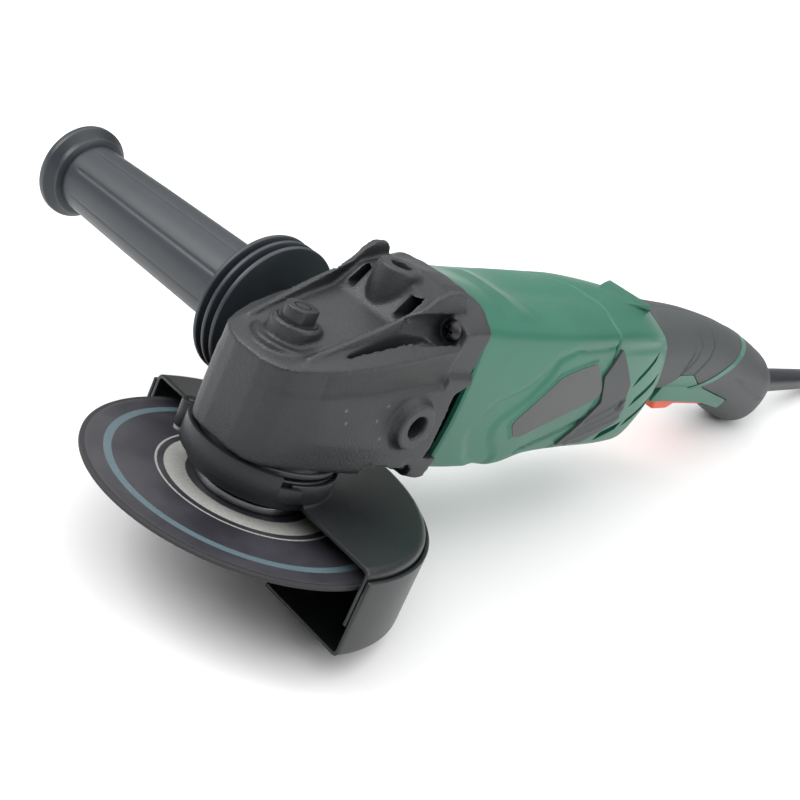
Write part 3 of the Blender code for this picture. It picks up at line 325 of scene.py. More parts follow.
def make_materials():
    MATERIALS.update({"green_plastic": moulded("green_plastic", (0.019, 0.122, 0.078), 0.36, 2600.0,
                                               0.00004), "grey_grip": moulded("grey_grip",
                                                                              (0.046, 0.051, 0.053), 0.56,
                                                                              3200.0, 0.00007),
                      # The black casting gets painted shade over its side band, and sharp edges lightened
                      # partly as wear and partly as painted highlight
                      "black_casting": moulded("black_casting", (0.017, 0.020, 0.022), 0.42, 1300.0,
                                               0.00024, worn=(0.16, 0.17, 0.18), edge=(0.15, 0.16, 0.165),
                                               painted_shade=CASE_PAINTED_SHADE),
                      "black_steel": moulded("black_steel", (0.010, 0.012, 0.013), 0.36, 1900.0, 0.00008,
                                             worn=(0.12, 0.13, 0.13)),
                      "blue_grey_plastic": moulded("blue_grey_plastic", (0.024, 0.030, 0.036), 0.42, 2400.0,
                                                   0.00005), "orange_plastic": moulded("orange_plastic",
                                                                                       (0.78, 0.115, 0.060),
                                                                                       0.42, 2600.0,
                                                                                       0.00004),
                      "bright_steel": turned_metal("bright_steel", (0.52, 0.52, 0.52), 0.30),
                      "dark_steel": turned_metal("dark_steel", (0.055, 0.055, 0.060), 0.34),
                      "zinc": turned_metal("zinc", (0.42, 0.43, 0.44), 0.36),
                      "copper": turned_metal("copper", (0.56, 0.24, 0.11), 0.36),
                      "brass": turned_metal("brass", (0.60, 0.43, 0.16), 0.34),
                      "carbon": moulded("carbon", (0.028, 0.028, 0.028), 0.65, 2400.0, 0.00010),
                      "abrasive": moulded("abrasive", (0.026, 0.026, 0.030), 0.80, 1400.0, 0.00040,
                                          worn=(0.16, 0.16, 0.17)),
                      "black_rubber": moulded("black_rubber", (0.012, 0.015, 0.019), 0.38, 2800.0, 0.00006),
                      "white_plastic": moulded("white_plastic", (0.62, 0.61, 0.56), 0.50, 2400.0, 0.00005),
                      "black_plastic": moulded("black_plastic", (0.014, 0.016, 0.018), 0.42, 2200.0,
                                               0.00006), "badge": badge_print(), "label": label_print(),})


def dress_frame():
    """Give every CAD node the detailed material of its slot."""
    slots = {part["node"]: part["material_slot"] for part in frame["record"]["subparts"]}
    for name, node in frame["nodes"].items():
        for slot in node.material_slots:
            slot.material = MATERIALS[slots[name]]


# ---------------------------------------------------------------- mesh helpers

SHARP = 32.0                   # faces that meet at more than this many degrees keep a hard edge


def add_mesh(name, points, faces):
    """A mesh object from points in the machine's millimetres, its faces turned outwards."""
    mesh = bpy.data.meshes.new(name)
    mesh.from_pydata([world(p) for p in points], [], faces)
    work = bmesh.new()
    work.from_mesh(mesh)
    bmesh.ops.recalc_face_normals(work, faces=work.faces)
    work.to_mesh(mesh)
    work.free()
    soften(mesh, SHARP)
    piece = bpy.data.objects.new(name, mesh)
    bpy.context.scene.collection.objects.link(piece)
    return piece


def soften(mesh, sharp):
    mesh.shade_smooth()
    mesh.set_sharp_from_angle(angle=math.radians(sharp))


def loft(name, rings, closed=False):
    """A skin through rings of equally many points; the two ends are capped unless the loft is closed."""
    count = len(rings[0])
    points = [p for ring in rings for p in ring]
    faces = []
    for i in range(len(rings) if closed else len(rings) - 1):
        here = i * count
        there = ((i + 1) % len(rings)) * count
        faces += [(here + k, here + (k + 1) % count, there + (k + 1) % count,
                   there + k) for k in range(count)]
    if not closed:
        faces.append(tuple(reversed(range(count))))
        faces.append(tuple(range((len(rings) - 1) * count, len(rings) * count)))
    return add_mesh(name, points, faces)


def on_axis(axis, at, radius, angle, along):
    """The point at a radius and an angle about a line through at, parallel to X, Y or Z."""
    across = radius * math.cos(angle)
    up = radius * math.sin(angle)
    offset = {"X": (along, across, up), "Y": (up, along, across), "Z": (across, up, along)}[axis]
    return tuple(a + b for a, b in zip(at, offset))


def turned(name, profile, axis="Z", at=(0.0, 0.0, 0.0), segments=96, shape=None):
    """A solid of revolution from a closed (radius, along) profile; shape(angle, along) adds to the radius."""
    points = []
    rings = []
    for radius, along in profile:
        if radius == 0.0:
            rings.append([len(points)] * segments)
            points.append(on_axis(axis, at, 0.0, 0.0, along))
            continue
        rings.append(list(range(len(points), len(points) + segments)))
        for k in range(segments):
            angle = 2.0 * math.pi * k / segments
            extra = shape(angle, along) if shape else 0.0
            points.append(on_axis(axis, at, radius + extra, angle, along))
    faces = []
    for i, ring in enumerate(rings):
        other = rings[(i + 1) % len(rings)]
        for k in range(segments):
            after = (k + 1) % segments
            corners = [ring[k], ring[after], other[after], other[k]]
            face = [c for n, c in enumerate(corners) if c not in corners[:n]]
            if len(face) > 2:
                faces.append(face)
    return add_mesh(name, points, faces)


def box(left, right, low, high):
    """The corners of a rectangle, anticlockwise from its lower left."""
    return [(left, low), (right, low), (right, high), (left, high)]


def out_from(side, near, far):
    """The two limits of a cutter on one side of the machine, the lower first."""
    return sorted((side * near, side * far))


def rod(name, radius, start, end, axis="Z", at=(0.0, 0.0, 0.0), segments=48):
    return turned(name, [(0.0, start), (radius, start), (radius, end), (0.0, end)], axis, at, segments)


def prism(name, outline, low, high, axis="Y"):
    """An outline pushed along an axis: (x, z) points along Y, (x, y) points along Z."""
    place = (lambda a, b, level: (a, level, b)) if axis == "Y" else (lambda a, b, level: (a, b, level))
    return loft(name, [[place(a, b, level) for a, b in outline] for level in (low, high)])


def swept(name, profile, start, end, steps=120):
    """A closed (radius, along) profile turned about Z between two angles in degrees."""
    rings = []
    for k in range(steps + 1):
        angle = math.radians(start + (end - start) * k / steps)
        rings.append([on_axis("Z", (0.0, 0.0, 0.0), radius, angle, along) for radius, along in profile])
    return loft(name, rings)


def rounded(outline, radius, steps=4):
    """The outline with each corner cut back and drawn as a small curve."""
    points = []
    count = len(outline)
    for k, corner in enumerate(outline):
        corner = Vector(corner)
        ends = []
        for other in (outline[k - 1], outline[(k + 1) % count]):
            run = Vector(other) - corner
            ends.append(corner + run * min(radius / run.length, 0.45))
        for n in range(steps + 1):
            t = n / steps
            points.append(tuple((1 - t) ** 2 * ends[0] + 2 * t * (1 - t) * corner + t * t * ends[1]))
    return points


def settle(piece, sharp=SHARP):
    """Apply a piece's modifiers and remove the cutters that they used."""
    bpy.context.view_layer.update()
    graph = bpy.context.evaluated_depsgraph_get()
    mesh = bpy.data.meshes.new_from_object(piece.evaluated_get(graph))
    spent = [modifier.object for modifier in piece.modifiers if modifier.type == "BOOLEAN"]
    piece.modifiers.clear()
    piece.data = mesh
    for other in spent:
        bpy.data.objects.remove(other, do_unlink=True)
    soften(mesh, sharp)
    return piece


def carve(piece, *others, operation="DIFFERENCE"):
    """Cut other solids from a piece, or join or intersect them, in one step each."""
    for other in others:
        modifier = piece.modifiers.new(other.name, "BOOLEAN")
        modifier.operation = operation
        modifier.solver = "MANIFOLD"
        modifier.object = other
    return settle(piece)


def bevelled(piece, width, segments=3):
    """Round the piece's hard edges."""
    modifier = piece.modifiers.new("edges", "BEVEL")
    modifier.width = width * MM
    modifier.segments = segments
    modifier.limit_method = "ANGLE"
    modifier.angle_limit = math.radians(SHARP)
    return settle(piece, 50.0)


def cast(piece, voxel, rounds):
    """Rebuild the piece's skin on an even grid and smooth it, as a casting's edges are."""
    remesh = piece.modifiers.new("skin", "REMESH")
    remesh.mode = "VOXEL"
    remesh.voxel_size = voxel * MM
    remesh.use_smooth_shade = True
    smooth = piece.modifiers.new("smooth", "SMOOTH")
    smooth.factor = 0.5
    smooth.iterations = rounds
    return settle(piece, 60.0)


def merged(name, pieces):
    """One mesh object holding several solids, for the skin to be drawn round them."""
    work = bmesh.new()
    for piece in pieces:
        work.from_mesh(piece.data)
        bpy.data.objects.remove(piece, do_unlink=True)
    mesh = bpy.data.meshes.new(name)
    work.to_mesh(mesh)
    work.free()
    whole = bpy.data.objects.new(name, mesh)
    bpy.context.scene.collection.objects.link(whole)
    return whole


def show(piece, material, body, node):
    """Give a finished piece its material and its body, and let it stand for its CAD node."""
    piece.data.materials.clear()
    piece.data.materials.append(MATERIALS[material])
    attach(piece, body)
    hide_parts(node)


def rise(value, low, high):
    """A smooth step from 0 at low to 1 at high, for numbers and arrays."""
    t = np.clip((value - low) / (high - low), 0.0, 1.0)
    return t * t * (3.0 - 2.0 * t)


def inside_band(x, z, path):
    """How far each point lies inside a band, in millimetres; path gives the band's (x, z, half width)."""
    deepest = np.full(np.shape(x), -99.0)
    for (x0, z0, w0), (x1, z1, w1) in zip(path, path[1:]):
        dx = x1 - x0
        dz = z1 - z0
        t = np.clip(((x - x0) * dx + (z - z0) * dz) / (dx * dx + dz * dz), 0.0, 1.0)
        away = np.hypot(x - x0 - t * dx, z - z0 - t * dz)
        deepest = np.maximum(deepest, w0 + (w1 - w0) * t - away)
    return deepest


def smooth_between(table, x):
    """Catmull-Rom reading of a table of stations."""
    last = len(table) - 1
    index = 0
    while index < last - 1 and x > table[index + 1][0]:
        index += 1
    p1 = table[index]
    p2 = table[index + 1]
    p0 = table[max(index - 1, 0)]
    p3 = table[min(index + 2, last)]
    span = p2[0] - p1[0]
    t = min(max((x - p1[0]) / span, 0.0), 1.0)
    values = []
    for n in range(1, len(p1)):
        slope1 = (p2[n] - p0[n]) / max(p2[0] - p0[0], 1e-9) * span
        slope2 = (p3[n] - p1[n]) / max(p3[0] - p1[0], 1e-9) * span
        values.append((2 * t ** 3 - 3 * t ** 2 + 1) * p1[n] + (t ** 3 - 2 * t ** 2 + t) * slope1
                      + (3 * t ** 2 - 2 * t ** 3) * p2[n] + (t ** 3 - t ** 2) * slope2)
    return values


def bowed(start, end, bow, steps):
    """Points from start up to, but not at, end, along a curve bowed to the left of its run."""
    middle = ((start[0] + end[0]) / 2, (start[1] + end[1]) / 2)
    run = (end[0] - start[0], end[1] - start[1])
    length = math.hypot(*run)
    control = (middle[0] - 2 * bow * run[1] / length, middle[1] + 2 * bow * run[0] / length)
    points = []
    for k in range(steps):
        t = k / steps
        points.append(tuple((1 - t) ** 2 * a + 2 * t * (1 - t) * c + t ** 2 * b
                            for a, c, b in zip(start, control, end)))
    return points


# ---------------------------------------------------------------- motor housing and rear cover

HOUSING_STATIONS = [
    # x, top, shoulder out, shoulder height, bulge, lower out, lower height, bottom
    (58, 41.6, 27.8, 33.2, 2.6, 28, -25, -31),
    (78, 38.4, 28.2, 32.6, 2.8, 28.2, -26.2, -31.6),
    (104, 35.8, 28.8, 32.6, 3, 28.2, -26.4, -31.4),
    (122, 35.4, 29.2, 32.8, 3, 27.8, -22.8, -27.6),
    (151, 35.9, 28.8, 33.2, 3.2, 27.4, -21.6, -26.6),
    (168, 37.4, 28.4, 33.2, 3.2, 27.2, -21.6, -26.4),
    (184, 38.2, 27.4, 31.8, 3.2, 26.8, -21.2, -26),
    (196, 37.6, 25.4, 29.4, 3.4, 25.8, -19.8, -24.8),
    (205, 35.4, 22.6, 26.4, 3.6, 23.6, -14.4, -19.6),
    (210, 33.4, 20.2, 24, 3.6, 21.4, -9.4, -14),
]
HOUSING_START = 58.0
HOUSING_END = 151.0
COVER_END = 209.0
GAP = 0.3
WALL = 2.6
CREST = 8.8                    # how far the seam bows back over the top

SWOOSH = [(93, -24, 7), (84, -17, 8), (79, -9, 8.5), (84, -0.5, 7), (99, 8, 4.6), (107, 16, 3.6),
          (111, 23, 2.6), (121, 26.4, 1.8), (158, 28.4, 1.6)]
LOW_GROOVES = [
    [(112, -20.6, 0.9), (131, -13.6, 1.1), (148.6, -6.7, 1.1)],
    [(138, -20.6, 0.9), (141.6, -19, 0.9), (150.3, -12, 1)],
]
PLATE = [(115.8, 15.5), (123.5, 18.1), (138.4, 21.5), (151, 8.6), (149, 5.4), (106.9, -11.7),
         (102.1, -12.2), (95.7, -5.1), (100.5, 0)]
INSERT = [(154, 27.7), (147.2, 15.2), (154.4, 3.1), (152.4, 0), (148.4, -6.4), (139.8, -18.6),
          (158.4, -18.6), (176.9, -8.4), (176.7, 0), (173.8, 3.4), (171.5, 11.6)]
INSERT_RIBS = [[(152, -6.4, 0.9), (175.7, 4.3, 0.9)], [(146, -16.6, 0.9), (177, -5.7, 0.9)],
               [(150, -11.4, 0.5), (176, -1, 0.5)]]
VENTS = [(177, 11.2, 190.4, 23), (183, 1.2, 199, 12.2), (187.6, -10, 203, 1), (171, -16.6, 184, -11)]


def housing_outline(x):
    """The closed outline of the housing at x, from the top centre round by +Y, its corners rounded."""
    top, out, high, bulge, low_out, low, bottom = smooth_between(HOUSING_STATIONS, x)
    half = bowed((0.0, top), (out, high), 1.4, 28)
    half += bowed((out, high), (low_out, low), bulge, 62)
    half += bowed((low_out, low), (0.0, bottom), 2.0, 26)
    half.append((0.0, bottom))
    ring = np.array(half + [(-y, z) for y, z in reversed(half[1:-1])])
    for _ in range(9):
        ring = 0.25 * np.roll(ring, 1, axis=0) + 0.5 * ring + 0.25 * np.roll(ring, -1, axis=0)
    return ring


SKIN_X = np.arange(57.0, 212.0)
SKIN = np.array([housing_outline(min(max(x, 58.0), 210.0)) for x in SKIN_X])
COLUMNS = np.arange(SKIN.shape[1])
SEAM = housing_outline(HOUSING_END)
SEAM_BOW = CREST * (1.0 - rise(np.abs(SEAM[:, 0]), 6.0, 27.0)) * (SEAM[:, 1] > 20.0)


def skin_at(x):
    """(y, z) of the housing's skin and the outward direction, for one x to each point of the outline."""
    row = np.clip(np.floor(x - SKIN_X[0]).astype(int), 0, len(SKIN_X) - 2)
    share = (x - SKIN_X[row])[:, None]
    spots = SKIN[row, COLUMNS] * (1.0 - share) + SKIN[row + 1, COLUMNS] * share
    run = np.roll(spots, -1, axis=0) - np.roll(spots, 1, axis=0)
    out = np.stack((-run[:, 1], run[:, 0]), axis=1)
    return spots, out / np.linalg.norm(out, axis=1)[:, None]


def skin_ring(x, lift):
    """A ring of the skin lifted by lift(x, y, z) or by a plain number."""
    spots, out = skin_at(x)
    if callable(lift):
        lift = lift(x, spots[:, 0], spots[:, 1])
    spots = spots + out * np.broadcast_to(lift, x.shape)[:, None]
    return [(float(a), float(b), float(c)) for a, (b, c) in zip(x, spots)]


def skin_shell(name, stations, shift, relief, inner):
    """A hollow shell on the housing's skin; shift(x) moves each ring's points along X."""
    outer = [skin_ring(x + shift(x), relief) for x in stations]
    depth = [skin_ring(x + shift(x), inner) for x in np.append(stations[:0:-8], stations[0])]
    return loft(name, outer + depth, closed=True)


def no_shift(x):
    return np.zeros(len(COLUMNS))


def front_shift(x):
    return SEAM_BOW * rise(x, 118.0, HOUSING_END)


def rear_shift(x):
    return SEAM_BOW * (1.0 - rise(x, HOUSING_END, 192.0))


def outline_distance(x, z, outline):
    """How far each point lies from a closed outline."""
    closed = [(a, b, 0.0) for a, b in outline] + [(*outline[0], 0.0)]
    return -inside_band(x, z, closed)


def housing_relief(x, y, z):
    """The swoosh, the grooves, the plate's rim and the crease over the top."""
    side = rise(np.abs(y), 20.0, 25.0)
    lift = -1.1 * rise(inside_band(x, z, SWOOSH), -0.8, 3.8)
    for groove in LOW_GROOVES:
        lift = lift - 0.9 * rise(inside_band(x, z, groove), -0.5, 0.6)
    rim = outline_distance(x, z, PLATE)
    lift = lift + 0.55 * (1.0 - rise(rim, 0.5, 1.3))
    crease = 0.9 * np.clip(1.0 - np.abs(x - 90.0 - 0.10 * y) / 10.0, 0.0, 1.0)
    crease = crease * (1.0 - rise(np.abs(y), 16.0, 25.0))
    ends = -0.7 * rise(x, HOUSING_START + 1.0, HOUSING_START)
    seam = HOUSING_END + SEAM_BOW
    ends = ends - 0.55 * rise(x, seam - 0.9, seam)
    return side * lift + (1.0 - side) * crease * (z > 0.0) + ends


def cover_relief(x, y, z):
    """The seam's rounded edge and the crease along the shoulder."""
    seam = HOUSING_END + GAP + SEAM_BOW
    shelf = -0.55 * (1.0 - rise(x, seam, seam + 0.9))
    ledge = -0.5 * rise(np.abs(z - 27.0), 3.0, 0.5) * rise(np.abs(y), 20.0, 24.0) * rise(x, 150.0, 170.0)
    return shelf + ledge


def insert_relief(x, y, z):
    lift = np.full(np.shape(x), 1.1)
    for rib in INSERT_RIBS:
        lift = lift + 0.55 * rise(inside_band(x, z, rib), -0.5, 0.6)
    screw = np.hypot(x - 171.0, z - 1.0)
    return lift - 1.2 * rise(screw, 2.5, 2.0)


def side_piece(name, outline, side, relief, inner, start, end):
    """A thin piece on the housing's side: the skin between two lifts, within an (x, z) outline."""
    stations = np.arange(start, end, 0.7)
    shell = skin_shell(name, stations, no_shift, relief, inner)
    limits = out_from(side, 15.0, 45.0)
    return carve(shell, prism("limit", outline, *limits), operation="INTERSECT")


def visor():
    """The flat lip that rises from the top of the cover, with a pointed corner at each side."""
    rings = []
    for x, half, top in ((172, 3.6, 36.6), (178, 6.6, 37.5), (184, 9, 38.1), (190, 11, 38.5),
                         (196.4, 12.8, 38.8)):
        side = [(half, top), (half, top - 1.5), (half - 0.8, top - 2.6), (half - 2.6, top - 6.6)]
        rings.append([(x, y, z) for y, z in side + [(-y, z) for y, z in reversed(side)]])
    return bevelled(loft("visor", rings), 0.5)


def make_housings():
    stations = np.concatenate((np.array([HOUSING_START, 58.3, 58.7]), np.arange(59.2, 150.0, 0.7),
                               np.array([150.1, 150.4, 150.7, HOUSING_END])))
    front = skin_shell("motor_housing_shell", stations, front_shift, housing_relief, -WALL)
    show(front, "green_plastic", "machine", "motor_housing")
    stations = np.concatenate((np.array([HOUSING_END + GAP, 151.6, 151.9, 152.2]),
                               np.arange(152.8, COVER_END, 0.8), np.array([COVER_END])))
    rear = skin_shell("rear_cover_shell", stations, rear_shift, cover_relief, -WALL)
    cutters = []
    for side in (1, -1):
        for x0, z0, x1, z1 in VENTS:
            slot = rounded([(x0, z0 - 2.5), (x1, z1 - 2.5), (x1 + 1.4, z1 + 2.1), (x0 + 1.4, z0 + 2.1)],
                           0.9, 3)
            cutters.append(prism("vent", slot, *out_from(side, 15.0, 45.0)))
        notch = [(206, 31), (207.6, 31.4), (208.3, 26), (207, 25.4)]
        gap = [(206.8, 16), (212, 18), (212, -9), (206.8, -9)]
        cutters += [prism("notch", outline, *out_from(side, 14.0, 45.0)) for outline in (notch, gap)]
    carve(rear, visor(), operation="UNION")
    carve(rear, *cutters)
    show(rear, "green_plastic", "machine", "rear_cover")
    for side, word in ((1, "left"), (-1, "right")):
        plate = side_piece(f"side_badge_{word}", rounded(PLATE, 2.8), side, 0.75, -0.7, 92.0, 153.5)
        show(plate, "badge", "machine", f"rating_plate_{word}")
        insert = side_piece(f"soft_insert_{word}", rounded(INSERT, 1.2), side, insert_relief,
                            -0.7, 137.0, 180.0)
        show(insert, "grey_grip", "machine", f"side_insert_{word}")


# ---------------------------------------------------------------- gear head

LOCK_X = -10.5
CASE_SCREWS = [
    # word, y, z, where the head's room starts, where the head sits
    ("left_top", 23.6, 31.0, 20.0, 43.2),
    ("right_top", -23.6, 31.0, 20.0, 43.2),
    ("left_bottom", 23.4, -23.4, 22.0, 46.0),
    ("right_bottom", -23.4, -23.4, 22.0, 46.0),
]
SIDE_BOSS = (33.6, 33.7, -3.3)
TOP_BOSS_X = 31.4
TOP_BOSS_Z = 44.3
CASE_WIDTHS = [(-28, 7), (-27.4, 10.4), (-26.2, 14), (-24.2, 17.6), (-21, 20), (-15, 22.8), (-8, 25.4),
               (8, 28.4), (22, 29.8), (32, 30.6), (43.8, 31.4), (57.7, 32)]
CASE_HEIGHTS = [
    # x, top, shoulder height, bottom
    (-28, 9.6, 9.2, -24.4), (-26.6, 10.8, 10.4, -25), (-23.6, 11.8, 11.6, -25), (-17, 14.1, 12.9, -25),
    (-8, 17.2, 14.9, -25), (8, 22.6, 18.4, -25), (22, 27.4, 21.4, -25.6), (31, 42, 23.6, -26.8),
    (43.6, 43, 26, -28.4), (43.9, 43, 33, -28.4), (57.7, 41.9, 33.2, -31),
]


def floor_height(x):
    return 11.4 + 0.34 * (x + 25.0)


def rail_side(x):
    return 16.2 + 0.073 * (x + 12.0)


def case_ring(x):
    """One section of the gear case: domed top, ledge, shoulder, inset band, side panel and bottom."""
    half = smooth_between(CASE_WIDTHS, x)[0]
    stations, *heights = zip(*CASE_HEIGHTS)
    top, shoulder, bottom = (float(np.interp(x, stations, column)) for column in heights)
    inner = min(rail_side(x) - 1.4, 0.62 * half)
    outer = min(rail_side(x) + 1.4, 0.80 * half)
    edge = 0.955 * half
    crown = max(shoulder, floor_height(x)) if top > floor_height(x) + 2.0 else top
    side = crown + 0.45 * (top - crown)
    panel = float(rise(x, -15.0, -5.0))
    sunk = panel * (1.2 + 1.0 * float(rise(x, 4.0, 26.0)))
    depth = shoulder + 10.0
    flange = float(rise(x, 38.0, 43.0))
    half_out = half - 0.35 * (1.0 - panel)
    outline = [(0.0, top), (0.5 * inner, crown + 0.86 * (top - crown)), (inner, side),
               (outer, max(shoulder + 1.4, min(side, crown)) if x > -20.0 else top - 0.1), (edge, shoulder),
               (edge - 0.1, shoulder - 0.9), (half_out - 0.4 - sunk, shoulder - 0.38 * depth),
               (half_out - 0.7 * panel, shoulder - 0.43 * depth), (half_out, -13.0), (0.975 * half, -18.0),
               ((0.955 - 0.055 * flange) * half, bottom + 1.6 + 0.8 * flange),
               ((0.93 - 0.12 * flange) * half, bottom), (0.0, bottom)]
    return [(x, y, z) for y, z in outline + [(-y, z) for y, z in reversed(outline[1:-1])]]


def rail(side):
    """A rail with its horn, beside the valley."""
    outline = [(-17, 11), (-17, 15.2), (28, 36.6), (33, 41.6), (38, 44.4), (44.6, 44.2), (47.6, 42),
               (48.6, 36), (48.6, 28), (0, 12)]
    return loft("rail", [[(x, side * (rail_side(x) + offset), z) for x, z in outline]
                         for offset in (-1.3, 1.3)])


def make_gear_case():
    stations = list(np.arange(-28.0, 43.0, 1.3)) + [43.6, 43.9] + list(np.arange(45.0, 57.6, 1.3)) + [57.7]
    solids = [loft("case_body", [case_ring(float(x)) for x in stations]), rail(1), rail(-1)]
    base = [(0, 12), (9.4, 12), (9.4, 20.4), (8.6, 21.2), (0, 21.2)]
    ledge = [(0, 11), (13.6, 11), (13.6, 14), (12.9, 14.6), (0, 14.6)]
    boss = [(0, 24), (8.6, 24), (8.4, TOP_BOSS_Z - 0.8), (7.6, TOP_BOSS_Z), (0.0, TOP_BOSS_Z)]
    for name, profile, place in (("lock_base", base, LOCK_X), ("lock_ledge", ledge, LOCK_X),
                                 ("top_boss", boss, TOP_BOSS_X)):
        solids.append(turned(name, profile, at=(place, 0.0, 0.0)))
    x, y, z = SIDE_BOSS
    for side in (1, -1):
        profile = [(0, 24), (10.6, 24), (10.6, y - 3.0), (9.6, y - 2.0), (9.4, y - 0.7), (8.6, y), (0.0, y)]
        solids.append(turned("side_boss", [(r, side * a) for r, a in profile], axis="Y", at=(x, 0.0, z)))
    case = cast(merged("gear_case_casting", solids), 0.6, 1)
    cutters = []
    for side in (1, -1):
        pocket = rounded([(-11.5, side * 19.4), (19.5, side * 18.9), (34.0, side * 20.6),
                          (36.5, side * 25.6), (20.0, side * 22.8)], 1.0)
        cutters.append(loft("pocket", [[(a, b, level + 0.30 * a) for a, b in pocket]
                                       for level in (13.4, 50.0)]))
        slot = rounded([(49.6, -19), (70, -19), (70, 13), (57, 12), (50.6, 8.4)], 0.8)
        cutters.append(loft("air_slot", [[(a, side * b, c) for a, c in slot] for b in (25, 40)]))
        window = rounded([(18, 29.4), (18, 37.6), (50, 37.6), (50, 29.4)], 0.6)
        cutters.append(loft("window", [[(a, side * b, c) for a, c in window] for b in (10.4, 14.6)]))
        low = rounded([(20, -30), (20, -21.6), (47, -23.6), (49, -30)], 0.8)
        cutters.append(loft("low_pocket", [[(a, side * b, c) for a, c in low] for b in (22, 40)]))
        for _, across, up, front, seat in CASE_SCREWS:
            if side * across > 0.0:
                cutters.append(rod("screw_room", 5.6, front, seat, axis="X", at=(0.0, across, up),
                                   segments=40))
        cutters.append(rod("side_hole", 4.4, *out_from(side, 18.0, 60.0), axis="Y", at=(x, 0.0, z)))
        ring = [(4.4, side * 33.0), (5.6, side * 34.6), (0.0, side * 34.6), (0.0, side * 33.0)]
        cutters.append(turned("side_chamfer", ring, axis="Y", at=(x, 0.0, z)))
    cutters.append(rod("top_hole", 4.0, 31.3, 60.0, at=(TOP_BOSS_X, 0.0, 0.0)))
    carve(case, *cutters)
    cast(case, 0.6, 1)
    cavity = [(0, -30), (26.8, -30), (26.8, -24.6), (25.2, -24.6), (25.2, -8), (24.4, -7), (24.4, 6),
              (5.4, 6), (5.4, 13.3), (0, 13.3)]
    passage = [(0, 10), (12, 10), (12, 31.7), (15.4, 31.7), (15.4, 44.7), (26.6, 44.7), (26.6, 70),
               (0, 70)]
    shaft = [(0, 0), (2.3, 0), (2.3, 14.5), (7.6, 14.5), (7.6, 30), (0, 30)]
    rooms = [turned("gear_room", cavity), turned("motor_passage", passage, axis="X"),
             turned("lock_pocket", shaft, at=(LOCK_X, 0.0, 0.0))]
    for _, across, up, _, _ in CASE_SCREWS:
        rooms.append(rod("screw_way", 2.3, 40.0, 80.0, axis="X", at=(0.0, across, up), segments=20))
    carve(case, *rooms)
    show(case, "black_casting", "machine", "gear_case")


def make_head_fittings():
    for word, y, z, _, seat in CASE_SCREWS:
        head = [(0.0, seat - 3.2), (1.6, seat - 3.1), (2.9, seat - 2.6), (3.8, seat - 1.6),
                (4.1, seat - 0.8), (4.1, seat - GAP), (2.0, seat - GAP), (2, 74), (0, 74)]
        screw = turned(f"screw_{word}", head, axis="X", at=(0.0, y, z), segments=48)
        cross = []
        for wide, tall in ((0.45, 2.1), (2.1, 0.45)):
            corners = box(y - wide, y + wide, z - tall, z + tall)
            cross.append(loft("cross", [[(level, b, c) for b, c in corners]
                                        for level in (seat - 5.0, seat - 1.7)]))
        carve(screw, *cross)
        show(screw, "dark_steel", "machine", f"case_screw_{word}")
    cap = rounded([(-4, -5), (4.3, -4.8), (6.2, -1.5), (5.8, 2.6), (2.8, 5.8), (-2.4, 6), (-5.9, 2.4),
                   (-6.1, -1.7)], 1.6)
    button = loft("lock_button_cap", [[(LOCK_X + a, b, c) for a, b in cap] for c in (19.2, 26.4)])
    bevelled(button, 0.6)
    carve(button, rod("stem", 1.8, -5.4, 19.8, at=(LOCK_X, 0.0, 0.0)),
          rod("foot", 7.3, 19.4, 21.4, at=(LOCK_X, 0.0, 0.0)), operation="UNION")
    carve(button, turned("dimple", box(2.6, 3.1, 26.0, 27.0), at=(LOCK_X, 0.0, 0.0)))
    show(button, "black_plastic", "spindle_lock", "lock_button")
    profile = [(17.8, -22), (24.7, -22), (24.7, -25.3), (26.4, -25.3), (26.4, -27.2), (24, -27.2),
               (24, -37.2), (9.6, -37.2), (9.6, -34.3), (17.8, -34.3)]
    neck = bevelled(turned("bearing_neck", profile), 0.35, 2)
    show(neck, "black_casting", "machine", "bearing_cover")


# ---------------------------------------------------------------- disc and guard

DISC_TOP = -46.2
DISC_RADIUS = 62.5
DISC_BORE = 11.1
GUARD_START = -95.0
GUARD_STOP = 85.0
PIVOT_ANGLE = 122.0
PIVOT_RADIUS = 30.2
GUARD_TOP = -37.6
GUARD_RADIUS = 66.2
COVER_BOTTOM = -71.7
COVER_RADIUS = 68.2
SHEET = 1.6


def bend(radius, height, curve, up, count):
    """Points round the quarter bend at a sheet's rim, from its flat face to its wall."""
    turns = np.linspace(0.0, math.pi / 2, count)
    return [(radius + curve * math.sin(a), height + up * curve * math.cos(a)) for a in turns]


def make_disc():
    low = DISC_TOP - 1.6
    profile = [(DISC_BORE, low), (DISC_RADIUS - 0.3, low), (DISC_RADIUS, low + 0.3),
               (DISC_RADIUS, DISC_TOP - 0.4), (DISC_RADIUS - 0.3, DISC_TOP - 0.15),
               (DISC_BORE, DISC_TOP - 0.15)]
    disc = turned("abrasive_disc", profile, segments=180)
    show(disc, "abrasive", "spindle_set", "cutting_disc")
    paper = [(DISC_BORE + 1.0, DISC_TOP - 0.12), (60.6, DISC_TOP - 0.12), (60.7, DISC_TOP - 0.02),
             (DISC_BORE + 1.0, DISC_TOP - 0.02)]
    label = turned("disc_label", paper, segments=180)
    label.data.materials.append(MATERIALS["label"])
    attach(label, "spindle_set")
    profile = [(7.8, -38.1), (15, -38.1), (15, -42.2), (20.5, -43.2), (20.5, DISC_TOP + GAP),
               (10.8, DISC_TOP + GAP), (10.8, DISC_TOP - 1.2), (7.8, DISC_TOP - 1.2)]
    show(bevelled(turned("inner_clamp_flange", profile), 0.3, 2), "zinc", "spindle_set", "inner_flange")
    under = low - GAP
    profile = [(7.1, under), (20.0, under), (20.0, under - 4.0), (18.8, under - 5.0), (7.1, under - 5.0)]
    nut = turned("clamp_nut", profile)
    holes = [rod("nut_hole", 2.5, -60.0, -40.0, at=(0.0, across, 0.0), segments=32)
             for across in (15.0, -15.0)]
    show(bevelled(carve(nut, *holes), 0.25, 2), "zinc", "spindle_set", "clamping_nut")


